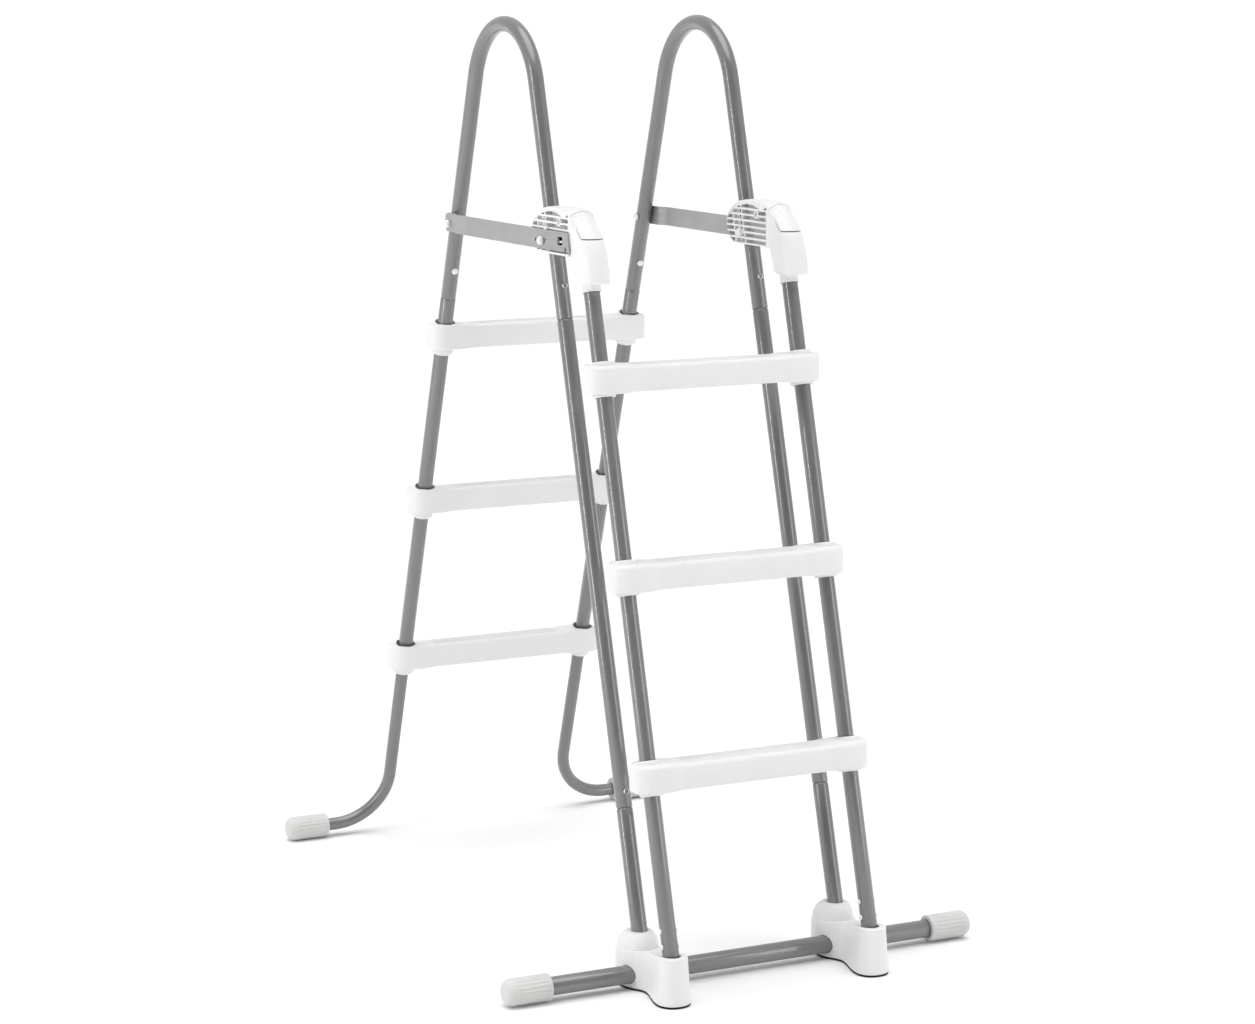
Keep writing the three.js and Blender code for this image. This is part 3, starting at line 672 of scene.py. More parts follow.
def step_section(x, leg, top, thin):
    """The outline of a step across its length at x. thin takes the wall off for the hollow."""
    half_length = STEP_HALF_LENGTH - thin
    end = half_length - abs(x)
    corner = END_CORNER - thin
    back = corner - math.sqrt(max(0.0, corner ** 2 - max(0.0, corner - end) ** 2))
    half_depth = STEP_DEPTH / 2 - thin - back
    boss = 1 - smooth_step((end + thin - BOSS_LENGTH) / BOSS_FADE)
    edge = {side: 0.0 if thin else r - math.sqrt(max(0.0, r ** 2 - max(0.0, r - end) ** 2))
            for side, r in END_EDGE.items()}
    low = top - STEP_HEIGHT + edge["bottom"] + (1 - boss) * BOTTOM_RISE - (HOLLOW_BELOW if thin else 0.0)
    high = top - edge["top"] - (1 - boss) * TREAD_DROP - thin
    half_depth -= (1 - boss) * TREAD_IN
    middle_y = leg.y(top - STEP_HEIGHT / 2)
    rounding = min(SECTION_CORNER["hollow" if thin else "top"], half_depth * 0.9)
    low_rounding = min(SECTION_CORNER["bottom"], rounding)
    section = []
    for sign_y, up, start in ((1, True, 0.0), (-1, True, 90.0), (-1, False, 180.0), (1, False, 270.0)):
        r = rounding if up else low_rounding
        centre = Vector((middle_y + sign_y * (half_depth - r), high - r if up else low + r))
        for i in range(CORNER_STEPS + 1):
            angle = math.radians(start + 90.0 * i / CORNER_STEPS)
            section.append((x, centre.x + r * math.cos(angle), centre.y + r * math.sin(angle)))
    return section


def step_stations(half_length):
    """X positions: close together at the rounded ends and where the bosses fade, and wide apart between."""
    ends = [half_length - END_CORNER * (1 - math.cos(0.5 * math.pi * i / 14)) for i in range(15)]
    fades = [half_length - BOSS_LENGTH - BOSS_FADE * i / 8 for i in range(9)]
    side = sorted(set(round(x, 3) for x in [*ends, *fades, half_length - 40.0, 80.0, 40.0]))
    return [-x for x in reversed(side)] + [0.0] + side


def step_solid(name, leg, top, thin=0.0):
    half_length = STEP_HALF_LENGTH - thin
    rings = [step_section(x, leg, top, thin) for x in step_stations(half_length)]
    return loft(name, rings)


SLEEVE_R = 18.5
SOCKET_R = 17.0  # a recess round the tube in the top of an inner step
SOCKET_DEPTH = 14.0
WEB_HALF = 1.2
GRIP_RIBS = 6
GRIP_PITCH = 6.0
GRIP_HALF_WIDTH = 1.3
GRIP_RISE = 0.6


def grip_ribs(leg, top):
    """Low ribs on the tread, between the bosses."""
    first_y = leg.y(top - STEP_HEIGHT / 2) - 0.5 * (GRIP_RIBS - 1) * GRIP_PITCH
    half_length = STEP_HALF_LENGTH - BOSS_LENGTH - BOSS_FADE - 6.0
    surface = top - TREAD_DROP
    ribs = []
    for row in range(GRIP_RIBS):
        y = first_y + row * GRIP_PITCH
        ribs.append(block("rib", (-half_length, y - GRIP_HALF_WIDTH, surface - 1.0),
                          (half_length, y + GRIP_HALF_WIDTH, surface + GRIP_RISE)))
    return [round_edges(rib, 0.5, 30.0) for rib in ribs]


def step(leg, top, socket_depth=0.0):
    """A tread, hollow from below, with webs in it and a sleeve round each tube."""
    body = cut(step_solid("step", leg, top), step_solid("hollow", leg, top, SKIN))
    bottom = top - STEP_HEIGHT
    middle_y = leg.y(top - STEP_HEIGHT / 2)
    inside = STEP_DEPTH / 2 - TREAD_IN - 0.5 * SKIN
    low_y, high_y = middle_y - inside, middle_y + inside
    webs = [block("web", (x - WEB_HALF, low_y, bottom + 5), (x + WEB_HALF, high_y, top - 3))
            for x in (-0.5 * TRACK, 0.0, 0.5 * TRACK)]
    sleeves = []
    for x in (-TRACK, TRACK):
        path = Straight(leg.point(bottom - 7, x), leg.point(top + 2, x))
        profile = [(0.0, SLEEVE_R - 1.5), (1.5, SLEEVE_R), (path.length - 1.6, SLEEVE_R + 1.5),
                   (path.length - 0.5, SLEEVE_R + 0.9), (path.length, SLEEVE_R - 0.6)]
        sleeves.append(turned("sleeve", path, profile, closed=False))
    body = join(body, *webs, *sleeves, *grip_ribs(leg, top))
    bores = [rod("bore", leg.point(bottom - 40, x), leg.point(top + 40, x), TUBE_R + BORE_GAP)
             for x in (-TRACK, TRACK)]
    if socket_depth:
        bores += [rod("socket", leg.point(top - socket_depth, x), leg.point(top + 40, x), SOCKET_R)
                  for x in (-TRACK, TRACK)]
    return cut(body, *bores)


for row in range(3):
    place(step(INNER_LEG, STEP_TOPS["inner"] + row * STEP_PITCH, SOCKET_DEPTH), f"inner_step_{row + 1}")
    place(step(STEP_TUBE, STEP_TOPS["outer"] + row * STEP_PITCH), f"outer_step_{row + 1}")


# ---- shoes and pads

TOE_END = -(foot_corner.y + CAP_R)
TOE_TOP = 75.0
HEEL_TOP = 58.0
HEEL_Y = -457.0
TOE_Y = TOE_END + 26.5
TOE_DRAFT = 4.5  # how much narrower the toe's top is, on every side
TOE_DRAFT_FROM = -500.0
TOE_DRAFT_FADE = 36.0
SOLE_ROUNDING = ((0.9, 0.0), (0.2, 0.5), (0.0, 1.2))  # how far in, and how high above the pad
HALF_WIDTHS = [  # Y and half the sole's width, from the heel over the waist to the toe
    (-404.0, 0.0), (-406.5, 12.0), (-412.5, 20.5), (-422.0, 26.5), (-433.0, 29.8), (-446.0, 31.0),
    (-458.0, 30.2), (-468.0, 27.6), (-478.0, 22.3), (-487.0, 17.0), (-496.0, 14.2), (-505.0, 14.4),
    (-516.0, 16.6), (-530.0, 20.6), (-546.0, 24.6), (-560.0, 26.5), (-569.0, 25.9), (-577.0, 22.8),
    (-583.5, 17.2), (-587.5, 9.6), (TOE_END, 0.0),
]
TURRET_TOP = 85.5
TURRET = [  # height, half width, half length and middle of the dome round the leg
    (46.0, 29.6, 40.6, -444.5), (53.0, 30.4, 40.8, -444.6), (59.0, 30.3, 40.4, -445.0),
    (65.0, 29.6, 39.0, -445.8), (70.0, 28.5, 37.2, -446.6), (74.5, 27.0, 34.6, -447.7),
    (78.5, 25.0, 31.4, -448.9), (81.5, 22.8, 27.8, -450.0), (83.7, 20.6, 24.4, -450.8),
    (85.0, 18.8, 21.6, -451.3), (TURRET_TOP, 17.0, 19.0, -451.6),
]


def arc(centre, radius, start, end, steps=22):
    """Points on a circle from one angle to another, in radians."""
    return [(centre[0] + radius * math.cos(start + (end - start) * i / steps),
             centre[1] + radius * math.sin(start + (end - start) * i / steps)) for i in range(steps + 1)]


def shoe_outline():
    """The sole's outline: a curve through the half widths, mirrored at the leg."""
    past_heel, past_toe = ((y, -w) for y, w in (HALF_WIDTHS[1], HALF_WIDTHS[-2]))
    knots = [past_heel, *HALF_WIDTHS, past_toe]
    side = []
    for before, start, end, after in zip(knots, knots[1:], knots[2:], knots[3:]):
        for t in (0.0, 0.25, 0.5, 0.75):
            side.append(tuple(0.5 * (2 * b + (c - a) * t + (2 * a - 5 * b + 4 * c - d) * t ** 2
                                     + (3 * b - a - 3 * c + d) * t ** 3)
                              for a, b, c, d in zip(before, start, end, after)))
    side.append(HALF_WIDTHS[-1])
    return [(TRACK - w, y) for y, w in side] + [(TRACK + w, y) for y, w in reversed(side[1:-1])]


TIP_Z = 28.0
TIP_R = 12.2
TILT_LIMIT = 5.0  # degrees
TILT_SPARE = 0.4
POCKET_LENGTH = 80.0
POCKET_PLAY = {"tip": 0.8, "tube": 0.7}
tip = STEP_TUBE.point(TIP_Z)


def pocket():
    """Room for the foot plug and the tube, upright and tilted out."""
    reaches = []
    for degrees in (0.0, TILT_LIMIT + TILT_SPARE):
        along = Matrix.Rotation(math.radians(degrees), 3, "X") @ STEP_TUBE.up
        start = tip - along * (TIP_R + POCKET_PLAY["tip"])
        reaches.append(rod("pocket", start, tip + along * POCKET_LENGTH, TUBE_R + POCKET_PLAY["tube"]))
    return join(*reaches)


def shoe():
    """The skirt under a sloping roof, and a turret round the leg that blends into it."""
    flat = anticlockwise(shoe_outline())
    roof_slope = (TOE_TOP - HEEL_TOP) / (HEEL_Y - TOE_Y)
    toe_share = [smooth_step((TOE_DRAFT_FROM - y) / TOE_DRAFT_FADE) for _, y in flat]

    def roof(y):
        return TOE_TOP - roof_slope * max(0.0, y - TOE_Y)

    rim = 2.0
    rings = [[(p[0], p[1], SHOE_BASE + rise) for p in inset(flat, back)] for back, rise in SOLE_ROUNDING]
    base = SHOE_BASE + SOLE_ROUNDING[-1][1]
    wall = [(share, rim, 0.0) for share in (0.25, 0.5, 0.75)]
    edge = [(1.0, rim * (1 - math.sin(a)), rim * (1 - math.cos(a))) for a in quarter(6)]
    for share, below, back in wall + edge:
        drafted = inset(flat, TOE_DRAFT * share, toe_share)
        rings.append([(p[0], p[1], base + share * (roof(q[1]) - below - base))
                      for p, q in zip(inset(drafted, back), flat)])
    skirt = loft("shoe", rings)
    turret = loft("turret", [[(TRACK + half_width * x, y + half_length * out, z)
                              for x, out in arc((0.0, 0.0), 1.0, 0.0, 2 * math.pi, 64)[:-1]]
                             for z, half_width, half_length, y in TURRET])
    body = join(skirt, turret)
    socket = rod("socket", OUTER_LEG.point(LEG_FOOT - GAP), OUTER_LEG.point(TURRET_TOP + 20),
                 TUBE_R + BORE_GAP)
    bar_hole = pin("bar_hole", -60, 60, BAR_Y, BAR_Z, BAR_R + BORE_GAP)
    return cut(body, socket, bar_hole, pocket())


place_pair(shoe(), "base_shoe")
PAD_INSET = 0.2
PAD_TOP = SHOE_BASE - 0.1
pad_outline = inset(anticlockwise(shoe_outline()), PAD_INSET)
place_pair(floor_plate("pad", pad_outline, 0.0, PAD_TOP, 0.5), "shoe_pad")


# ---- straps and their bolts

STRAP_Z = {"low": 1108.0, "high": 1139.0}
BOLT_Z = 1121.0
BOLT_R = 3.2
BOLT_Y = {"outer": OUTER_LEG.y(BOLT_Z), "inner": INNER_LEG.y(BOLT_Z)}
STRAP_T = 3.0
STRAP_U = 20.5
STRAP_INNER_U = TUBE_R + GAP + 0.2
STRAP_END = {"front": -260.0, "back": BOLT_Y["inner"] + 13}
STRAP_CORNER = {"front": 3.0, "back": 9.0}
STRAP_EDGE = 0.4
JOGGLE = {"start": BOLT_Y["inner"] - 46, "end": BOLT_Y["inner"] - 28}
SLOT_REACH = {"front": -8.0, "back": 22.0}
WINDOW = [(-235, 1118), (-218, 1118), (-218, 1131), (-235, 1131)]
NOTCH = [(-249, 1100), (-243, 1100), (-243, 1116), (-249, 1116)]
SLANT = [(-269, 1100), (-261.5, 1100), (-259.6, 1108), (-252.5, 1139), (-250.5, 1147), (-269, 1147)]


def bolt_hole(y):
    return pin("hole", -30, 40, y, BOLT_Z, BOLT_R + GAP)


def strap_cutter(name, outline):
    return side_plate(name, outline, 5, 40)


def corner_cutter(y_end, sign, z_end, up, radius):
    """What a rounded corner of the strap takes off. sign and up point from the corner into the strap."""
    y, z = y_end + sign * radius, z_end + up * radius
    wedge = [(y_end - sign * 2, z_end - up * 2), (y, z_end - up * 2), (y, z_end)]
    wedge += [(y - sign * radius * math.sin(a), z - up * radius * math.cos(a)) for a in quarter(8)[1:-1]]
    wedge += [(y_end, z), (y_end - sign * 2, z)]
    return strap_cutter("corner", wedge)


def strap():
    """A flat bar outboard of the legs, joggled in at the pool side, with its slot, window and notch."""
    line = [(STRAP_U, STRAP_END["front"]), (STRAP_U, JOGGLE["start"] - 6)]
    for i in range(13):
        t = i / 12
        line.append((STRAP_U + (STRAP_INNER_U - STRAP_U) * smooth_step(t),
                     JOGGLE["start"] - 3 + (JOGGLE["end"] - JOGGLE["start"] + 6) * t))
    line += [(STRAP_INNER_U, JOGGLE["end"] + 8), (STRAP_INNER_U, STRAP_END["back"])]
    low, high, edge = STRAP_Z["low"], STRAP_Z["high"], STRAP_EDGE
    side = ((edge, low), (0.0, low + edge), (0.0, high - edge), (edge, high))
    rings = []
    for u, y in line:
        near = [(TRACK + u + back, y, z) for back, z in side]
        far = [(TRACK + u + STRAP_T - back, y, z) for back, z in reversed(side)]
        rings.append(near + far)
    body = loft("strap", rings)
    corners = [corner_cutter(STRAP_END[end], sign, z, up, STRAP_CORNER[end])
               for end, sign in (("front", 1), ("back", -1)) for z, up in ((low, 1), (high, -1))]
    reach = BOLT_R + GAP
    slot = strap_cutter("slot", [
        *arc((BOLT_Y["outer"] + SLOT_REACH["back"], BOLT_Z), reach, -0.5 * math.pi, 0.5 * math.pi),
        *arc((BOLT_Y["outer"] + SLOT_REACH["front"], BOLT_Z), reach, 0.5 * math.pi, 1.5 * math.pi),
    ])
    return cut(body, *corners, slot, bolt_hole(BOLT_Y["inner"]),
               strap_cutter("window", rounded_corners(WINDOW, 1.5)),
               strap_cutter("notch", rounded_corners(NOTCH, 2.0)), strap_cutter("slant", SLANT))


place_pair(strap(), "strap")

BRACKET_HALF = 20.0
DOME_R = 6.9
DOME_HEIGHT = 8.2
DOME_FLANGE = 1.6
NUT_R = 6.2
NUT_T = 3.4


def dome_bolt(y, strap_outer_u, inboard_u):
    """A wide domed head over a flange on the strap's side, and a flat nut on the inboard side."""
    path = Straight((TRACK + inboard_u - GAP - NUT_T, y, BOLT_Z),
                    (TRACK + strap_outer_u + GAP + DOME_HEIGHT, y, BOLT_Z))
    seat = path.length - DOME_HEIGHT
    nut = [(0.0, AXIS_R), (0.0, NUT_R - 0.6), (0.4, NUT_R), (NUT_T - 0.4, NUT_R), (NUT_T, NUT_R - 0.4)]
    shank = [(NUT_T, BOLT_R), (seat, BOLT_R)]
    head = [(seat, DOME_R - 0.4), (seat + 0.4, DOME_R), (seat + DOME_FLANGE, DOME_R)]
    head += dome(seat + DOME_FLANGE, DOME_HEIGHT - DOME_FLANGE, DOME_R)
    return turned("bolt", path, nut + shank + head, 36, closed=False)


place_pair(dome_bolt(BOLT_Y["outer"], STRAP_U + STRAP_T, -BRACKET_HALF), "strap_bolt_outer")
place_pair(dome_bolt(BOLT_Y["inner"], STRAP_INNER_U + STRAP_T, -TUBE_R), "strap_bolt_inner")


# ---- screws and pins

JOINT_SCREW_RISE = 49.0
LOW_SCREW_RISE = 23.0
SCREW_R = 2.4
SCREW_SHANK = 10.0


def joint_screw(leg, z, head_radius, height, domed):
    """A screw into the front of a leg: a rolled ring with a sunk centre, or a plain dome."""
    seat = leg.point(z) + leg.front * (TUBE_R + GAP)
    base = SCREW_SHANK
    path = Straight(seat - leg.front * base, seat + leg.front * height)
    r = head_radius
    profile = [(0.0, AXIS_R), (0.0, SCREW_R), (base - 5, SCREW_R), (base - 4, r - 1.0), (base - 0.2, r - 1.0),
               (base, r)]
    if domed:
        profile += dome(base, height, r)
    else:
        profile += [(base + 0.6 * height, r - 0.2), (base + height, r - 0.8), (base + height, r - 1.2),
                    (base + 0.6 * height, r - 1.8), (base - 3.0, r - 2.0), (base - 3.0, AXIS_R)]
    return turned("screw", path, profile, 32, closed=False)


outer_screw_z = HAND_JOINT["outer"] + JOINT_SCREW_RISE
inner_screw_z = HAND_JOINT["inner"] + JOINT_SCREW_RISE
place_pair(joint_screw(OUTER_LEG, outer_screw_z, 4.6, 1.8, False), "joint_screw_outer")
place_pair(joint_screw(OUTER_LEG, LOW_JOINT + LOW_SCREW_RISE, 4.6, 1.8, False), "joint_screw_low")
place_pair(joint_screw(INNER_LEG, inner_screw_z, 5.4, 4.2, True), "joint_screw_inner")

PLUG_PIN_Z = {"low": 87.0, "high": 110.0}
PLUG_PIN_R = {"shank": 2.0, "head": 4.0}
PLUG_PIN_HEAD = 3.0


def plug_pin(z):
    """A rivet through the tube, with a domed head on either side."""
    y = STEP_TUBE.y(z)
    reach = TUBE_R + PLUG_PIN_HEAD
    path = Straight((TRACK - reach, y, z), (TRACK + reach, y, z))
    near = [(PLUG_PIN_HEAD * (1 - math.sin(a)), PLUG_PIN_R["head"] * math.cos(a) + AXIS_R)
            for a in reversed(quarter(6))]
    near.append((PLUG_PIN_HEAD, PLUG_PIN_R["shank"]))
    far = [(path.length - s, r) for s, r in reversed(near)]
    return turned("pin", path, near + far, 32, closed=False)


for level, height in PLUG_PIN_Z.items():
    place_pair(plug_pin(height), f"plug_pin_{level}")

PLUG_TOP = 124.0


def foot_plug():
    """A round tip in the shoe, a collar under the tube and a shank inside it."""
    path = Straight(tip - STEP_TUBE.up * TIP_R, STEP_TUBE.point(PLUG_TOP))
    to_tube = (STEP_TUBE.point(STEP_TUBE_FOOT - GAP) - path.start).length
    shank = TUBE_R - WALL - NECK_PLAY
    profile = [(TIP_R * (1 - math.cos(a)), TIP_R * math.sin(a) + AXIS_R) for a in quarter(10)]
    profile += [(to_tube - 0.6, TUBE_R - 0.3), (to_tube, TUBE_R - 0.8), (to_tube, shank),
                (path.length - 2, shank), (path.length, shank - 2), (path.length, AXIS_R)]
    return turned("plug", path, profile, closed=False)


place_pair(foot_plug(), "foot_plug")

CATCH = {"y": -215.0, "z": 1153.0, "r": 4.0}
place_pair(pin("catch", -19, 19, CATCH["y"], CATCH["z"], CATCH["r"], 0.6), "catch_pin")


# ---- brackets

FACE = {"top": -257.0, "bottom": -261.0}  # Y of the plane where the head meets the bracket
HEAD_HALF = 20.5
CROWN_DROP = 12.5  # how much lower the tops of the bracket and head are at their sides
FRONT_PUSH = 11.0  # how much the head's front goes back at its sides


def crowned(piece):
    """Rounds the top across the piece's width, more so towards the front, and the front of the head."""
    for vertex in piece.data.vertices:
        x, y, z = vertex.co / MM
        side = min(1.0, abs(x - TRACK) / HEAD_HALF) ** 2.2
        ahead = 0.22 + 0.78 * smooth_step((-238.0 - y) / 36.0)
        top = ahead * smooth_step((z - 1128.0) / 40.0) * smooth_step((-135.0 - y) / 80.0)
        front = smooth_step((FACE["bottom"] - y) / 45.0)
        vertex.co.z -= CROWN_DROP * side * top * MM
        vertex.co.y += FRONT_PUSH * side * front * MM
    return piece


BRACKET_Z = {"low": 1103.0, "high": 1176.0}
BRACKET_OUTLINE = [
    (FACE["bottom"] + GAP, BRACKET_Z["low"]), (-140, BRACKET_Z["low"]), (-126, 1112), (-117, 1126),
    (-115, 1139), (-119, 1149), (-128, 1158), (-139, 1165.5), (-153, 1171), (-173, 1175),
    (-218, BRACKET_Z["high"]),
    (FACE["top"] + GAP, BRACKET_Z["high"] - 2),
]
CHANNEL_HALF = 7.0
CELL_ROWS = 7
CELL_HEIGHT = 6.2
CELL_PITCH = 9.3
CELL_BOTTOM = BRACKET_Z["low"] + 2.8
CELL_DEPTH = {"open": 12.5, "over_leg": 7.0}
BOSS_R = {"bolt": 8.5, "catch": 7.0}
LIP_U = (BRACKET_HALF - 4, 26.0)  # how far outboard the lip and the tab beside the strap reach
CELL_WINDOW = [
    (-248, 1105), (-139, 1105), (-127, 1114), (-119.5, 1127), (-118, 1138), (-122, 1146), (-131, 1153),
    (-143, 1159), (-158, 1164), (-180, 1168), (-206, 1167.5), (-230, 1160), (-242, 1163), (-248, 1167),
]


def bracket_cells():
    """Rows of pockets between the ribs: deep ahead of and behind the leg, shallow over it."""
    leg_half = TUBE_R + 4
    cells = []
    for row in range(CELL_ROWS):
        low = CELL_BOTTOM + row * CELL_PITCH
        high = low + CELL_HEIGHT
        leg_y = OUTER_LEG.y(low + CELL_HEIGHT / 2)
        columns = ((-248, leg_y - leg_half, CELL_DEPTH["open"]),
                   (leg_y - leg_half + 3, leg_y + leg_half - 3, CELL_DEPTH["over_leg"]),
                   (leg_y + leg_half, -112, CELL_DEPTH["open"]))
        for y0, y1, depth in columns:
            for side in (-1, 1):
                x0, x1 = sorted((TRACK + side * (BRACKET_HALF + 1), TRACK + side * (BRACKET_HALF - depth)))
                window = side_plate("window", CELL_WINDOW, -30, 30, corner=2.0)
                cells.append(keep(block("cell", (x0, y0, low), (x1, y1, high)), window))
    return cut(join(*cells), pin("boss", -30, 30, BOLT_Y["outer"], BOLT_Z, BOSS_R["bolt"]),
               pin("boss", -30, 30, CATCH["y"], CATCH["z"], BOSS_R["catch"]))


def bracket():
    """A ribbed block round the leg, with a lip and a tab for the strap and a channel for the latch arm."""
    def share(p):
        return 0.08 + 0.92 * smooth_step((p[0] - FACE["bottom"] - 4.0) / 10.0)

    body = crowned(side_plate("bracket", BRACKET_OUTLINE, -BRACKET_HALF, BRACKET_HALF, 3.0, corner=3.0,
                              spans=10, share=share))
    u0, u1 = (TRACK + u for u in LIP_U)
    lip = block("lip", (u0, -259, BRACKET_Z["low"]), (u1, -183, BRACKET_Z["low"] + 3.2))
    tab = block("tab", (u0, -181, STRAP_Z["high"] + GAP), (u1, -173, STRAP_Z["high"] + 5))
    leg_bore = rod("bore", OUTER_LEG.point(1080), OUTER_LEG.point(1200), TUBE_R + BORE_GAP)
    channel = block("channel", (TRACK - CHANNEL_HALF, -300, 1122), (TRACK + CHANNEL_HALF, -190, 1163))
    body = join(body, round_edges(lip, 0.8), round_edges(tab, 1.5, segments=3))
    return cut(body, bracket_cells(), leg_bore, channel, bolt_hole(BOLT_Y["outer"]),
               pin("hole", -30, 30, CATCH["y"], CATCH["z"], CATCH["r"] + GAP))


place_pair(bracket(), "bracket")


# ---- heads and latch caps

HEAD_BOTTOM = 1064.0
HEAD_RIM = 5.0
HEAD_OUTLINE = [
    (FACE["top"], 1172), (FACE["bottom"], 1103), (-271, 1078), (-274, HEAD_BOTTOM + 3), (-278, HEAD_BOTTOM),
    (-323, HEAD_BOTTOM), (-327, HEAD_BOTTOM + 5), (-325, 1078), (-320, 1095), (-314, 1112), (-308, 1124),
    (-301, 1134), (-292, 1143.5), (-282, 1152), (-272, 1159.5), (-264, 1165.5),
]
ARM_OUTLINE = [
    (-276, 1152), (-267, 1139.5), (-213, 1139.5), (-209, 1142), (-209, 1148.2), (-256, 1148.2), (-261, 1152),
    (-262, 1158), (-271, 1158),
]
ARM_HALF = CHANNEL_HALF - 1.5
PIVOT = {"y": -269.0, "z": 1159.2, "r": 1.2}
PIVOT_PLAY = 0.1
LATCH_PIN_HALF = 6.5
HUB_R = 9.0
HUB_ANGLES = [math.radians(-110 + 6 * i) for i in range(28)]
SEAM = 0.3
SEAM_GROOVE = 1.9


def head_skin(name):
    return crowned(side_plate(name, HEAD_OUTLINE, -HEAD_HALF, HEAD_HALF, HEAD_RIM, corner=4.0, spans=14,
                              share=lambda p: 0.04 + 0.96 * smooth_step((FACE["bottom"] - p[0]) / 14.0)))


def cap_region(name, seam=0.0, groove=0.0):
    """The part of the head that the latch cap takes, grown by a seam, and by a groove under its front."""
    reach = HUB_R + seam
    hub = [(PIVOT["y"] + reach * math.cos(a), PIVOT["z"] + reach * math.sin(a)) for a in HUB_ANGLES]
    outline = [(-340, 1131.5 - groove), (-292 + seam, 1132.5 - groove), (-279 + seam, 1144 - groove), *hub,
               (hub[-1][0], 1200), (-340, 1200)]
    return side_plate(name, outline, -40, 40)


def latch():
    """The cap over the head, and its arm to the catch pin."""
    cap = keep(head_skin("latch"), cap_region("region"))
    arm = side_plate("arm", ARM_OUTLINE, -ARM_HALF, ARM_HALF, 0.8, corner=2.0)
    return cut(join(cap, arm), pin("hole", -8, 8, PIVOT["y"], PIVOT["z"], PIVOT["r"] + PIVOT_PLAY))


def head():
    """The rest of the head, with room for the tube and the arm."""
    arm_space = block("space", (TRACK - CHANNEL_HALF, -285, 1134), (TRACK + CHANNEL_HALF, -240, 1163))
    tube_top = STEP_TUBE.point(STEP_TUBE_TOP + GAP)
    tube_bore = rod("bore", STEP_TUBE.point(1000), tube_top, TUBE_R + BORE_GAP)
    core = rod("core", STEP_TUBE.point(1080), STEP_TUBE.point(1122), 7.0)
    return cut(head_skin("head"), cap_region("region", SEAM, SEAM_GROOVE), arm_space, tube_bore, core)


place_pair(latch(), "latch")
place_pair(head(), "head")
latch_pin = pin("latch_pin", -LATCH_PIN_HALF, LATCH_PIN_HALF, PIVOT["y"], PIVOT["z"], PIVOT["r"], 0.4)
place_pair(latch_pin, "latch_pin")

COLLAR_R = 14.9
COLLAR_BEAD = 0.7
collar_path = leg_path(STEP_TUBE, 1050, HEAD_BOTTOM + 8)
collar_r = COLLAR_R - 0.3
collar_bore = TUBE_R + BORE_GAP
collar = turned("collar", collar_path, [
    (0.0, collar_bore), (0.0, collar_r), (0.7, collar_r + COLLAR_BEAD), (3.0, collar_r + COLLAR_BEAD),
    (3.8, collar_r), (collar_path.length, collar_r), (collar_path.length, collar_bore),
])
above_collar = block("above", (TRACK - 40, -340, HEAD_BOTTOM - 0.3), (TRACK + 40, -240, HEAD_BOTTOM + 40))
place_pair(cut(collar, above_collar), "head_collar")


# ---- floor, light and camera

def studio_material(name, value, roughness):
    n = Nodes(name)
    cloud = n.noise(0.8, 2.0, 0.5)
    colour = n.ramp(cloud, 0.3, 0.7, (value * 0.985, value))
    return n.finish(colour, n.level(cloud, roughness, roughness + 0.05), n.bump(cloud, 0.01, 0.001),
                    Specular_IOR_Level=0.1)


FLOOR_RADIUS = 400.0
FLOOR_SIDES = 64
floor_mesh = bpy.data.meshes.new("studio_floor")
rim_points = [(x, y, 0.0) for x, y in arc((0.0, 0.0), FLOOR_RADIUS, 0.0, 2 * math.pi, FLOOR_SIDES)[:-1]]
floor_mesh.from_pydata(rim_points, [], [tuple(range(FLOOR_SIDES))])
floor = bpy.data.objects.new("studio_floor", floor_mesh)
floor.location.z = -0.0005
floor_mesh.materials.append(studio_material("studio_floor", 0.93, 0.8))
bpy.context.scene.collection.objects.link(floor)


def lamp(name, kind, energy, direction, location=(0.0, 0.0, 0.0)):
    """A light that shines along direction. Its data is returned."""
    data = bpy.data.lights.new(name, kind)
    data.energy = energy
    light = bpy.data.objects.new(name, data)
    light.location = location
    light.rotation_euler = Vector(direction).to_track_quat("-Z", "Y").to_euler()
    bpy.context.scene.collection.objects.link(light)
    return data


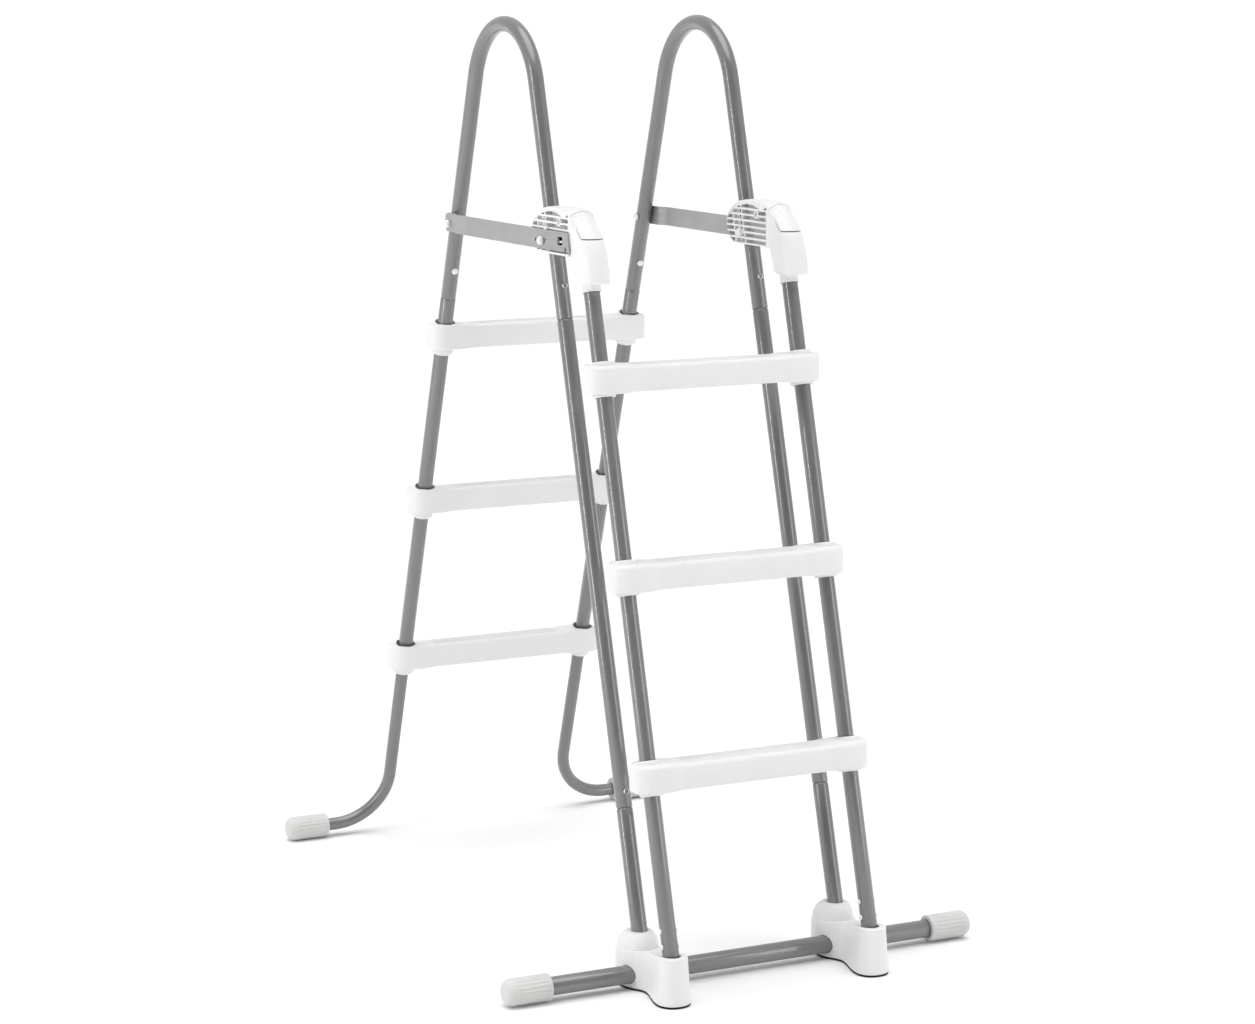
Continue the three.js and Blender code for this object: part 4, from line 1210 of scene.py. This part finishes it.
def area_light(name, location, target, size, power):
    data = lamp(name, "AREA", power, Vector(target) - Vector(location), location)
    data.shape = "RECTANGLE"
    data.size, data.size_y = size


MIDDLE = (0.0, 0.0, 0.75)
lamp("overhead", "SUN", 1.80, (0.05, 0.12, -1.0)).angle = math.radians(60.0)
area_light("streak_left", (-4.9, -0.3, 1.2), MIDDLE, (0.20, 5.0), 96.0)
area_light("soft_right", (2.9, -4.3, 1.4), MIDDLE, (1.4, 3.2), 40.0)


def studio_world(front, front_strength, side_strength):
    """White surroundings, dimmer on the side that front points to, as in a studio with a dark camera side."""
    world = bpy.data.worlds.new("studio")
    world.use_nodes = True
    nodes, links = world.node_tree.nodes, world.node_tree.links
    direction = nodes.new("ShaderNodeTexCoord")
    facing = nodes.new("ShaderNodeVectorMath")
    facing.operation = "DOT_PRODUCT"
    facing.inputs[1].default_value = Vector(front).normalized()
    level = nodes.new("ShaderNodeMapRange")
    level.interpolation_type = "SMOOTHSTEP"
    set_inputs(level, From_Min=0.35, From_Max=0.95, To_Min=side_strength, To_Max=front_strength)
    links.new(direction.outputs["Generated"], facing.inputs[0])
    links.new(facing.outputs["Value"], level.inputs["Value"])
    links.new(level.outputs["Result"], nodes["Background"].inputs["Strength"])
    nodes["Background"].inputs["Color"].default_value = (1.0, 1.0, 1.0, 1.0)
    return world


scene = bpy.context.scene
scene.world = studio_world((-0.45, -0.89, 0.12), 0.12, 0.69)
scene.view_settings.view_transform = "Standard"
scene.view_settings.look = "None"

CAMERA_PLACE = (-2.3328, -4.6899, 1.5288)
CAMERA_AZIMUTH = -26.778  # degrees
CAMERA_DOWN = 9.482
camera_data = bpy.data.cameras.new("camera")
camera_data.sensor_width = 36.0
camera_data.lens = 92.33
camera_data.clip_end = 1000.0
camera = bpy.data.objects.new("camera", camera_data)
camera.location = CAMERA_PLACE
camera.rotation_euler = (math.radians(90 - CAMERA_DOWN), 0.0, math.radians(CAMERA_AZIMUTH))
scene.collection.objects.link(camera)
scene.camera = camera
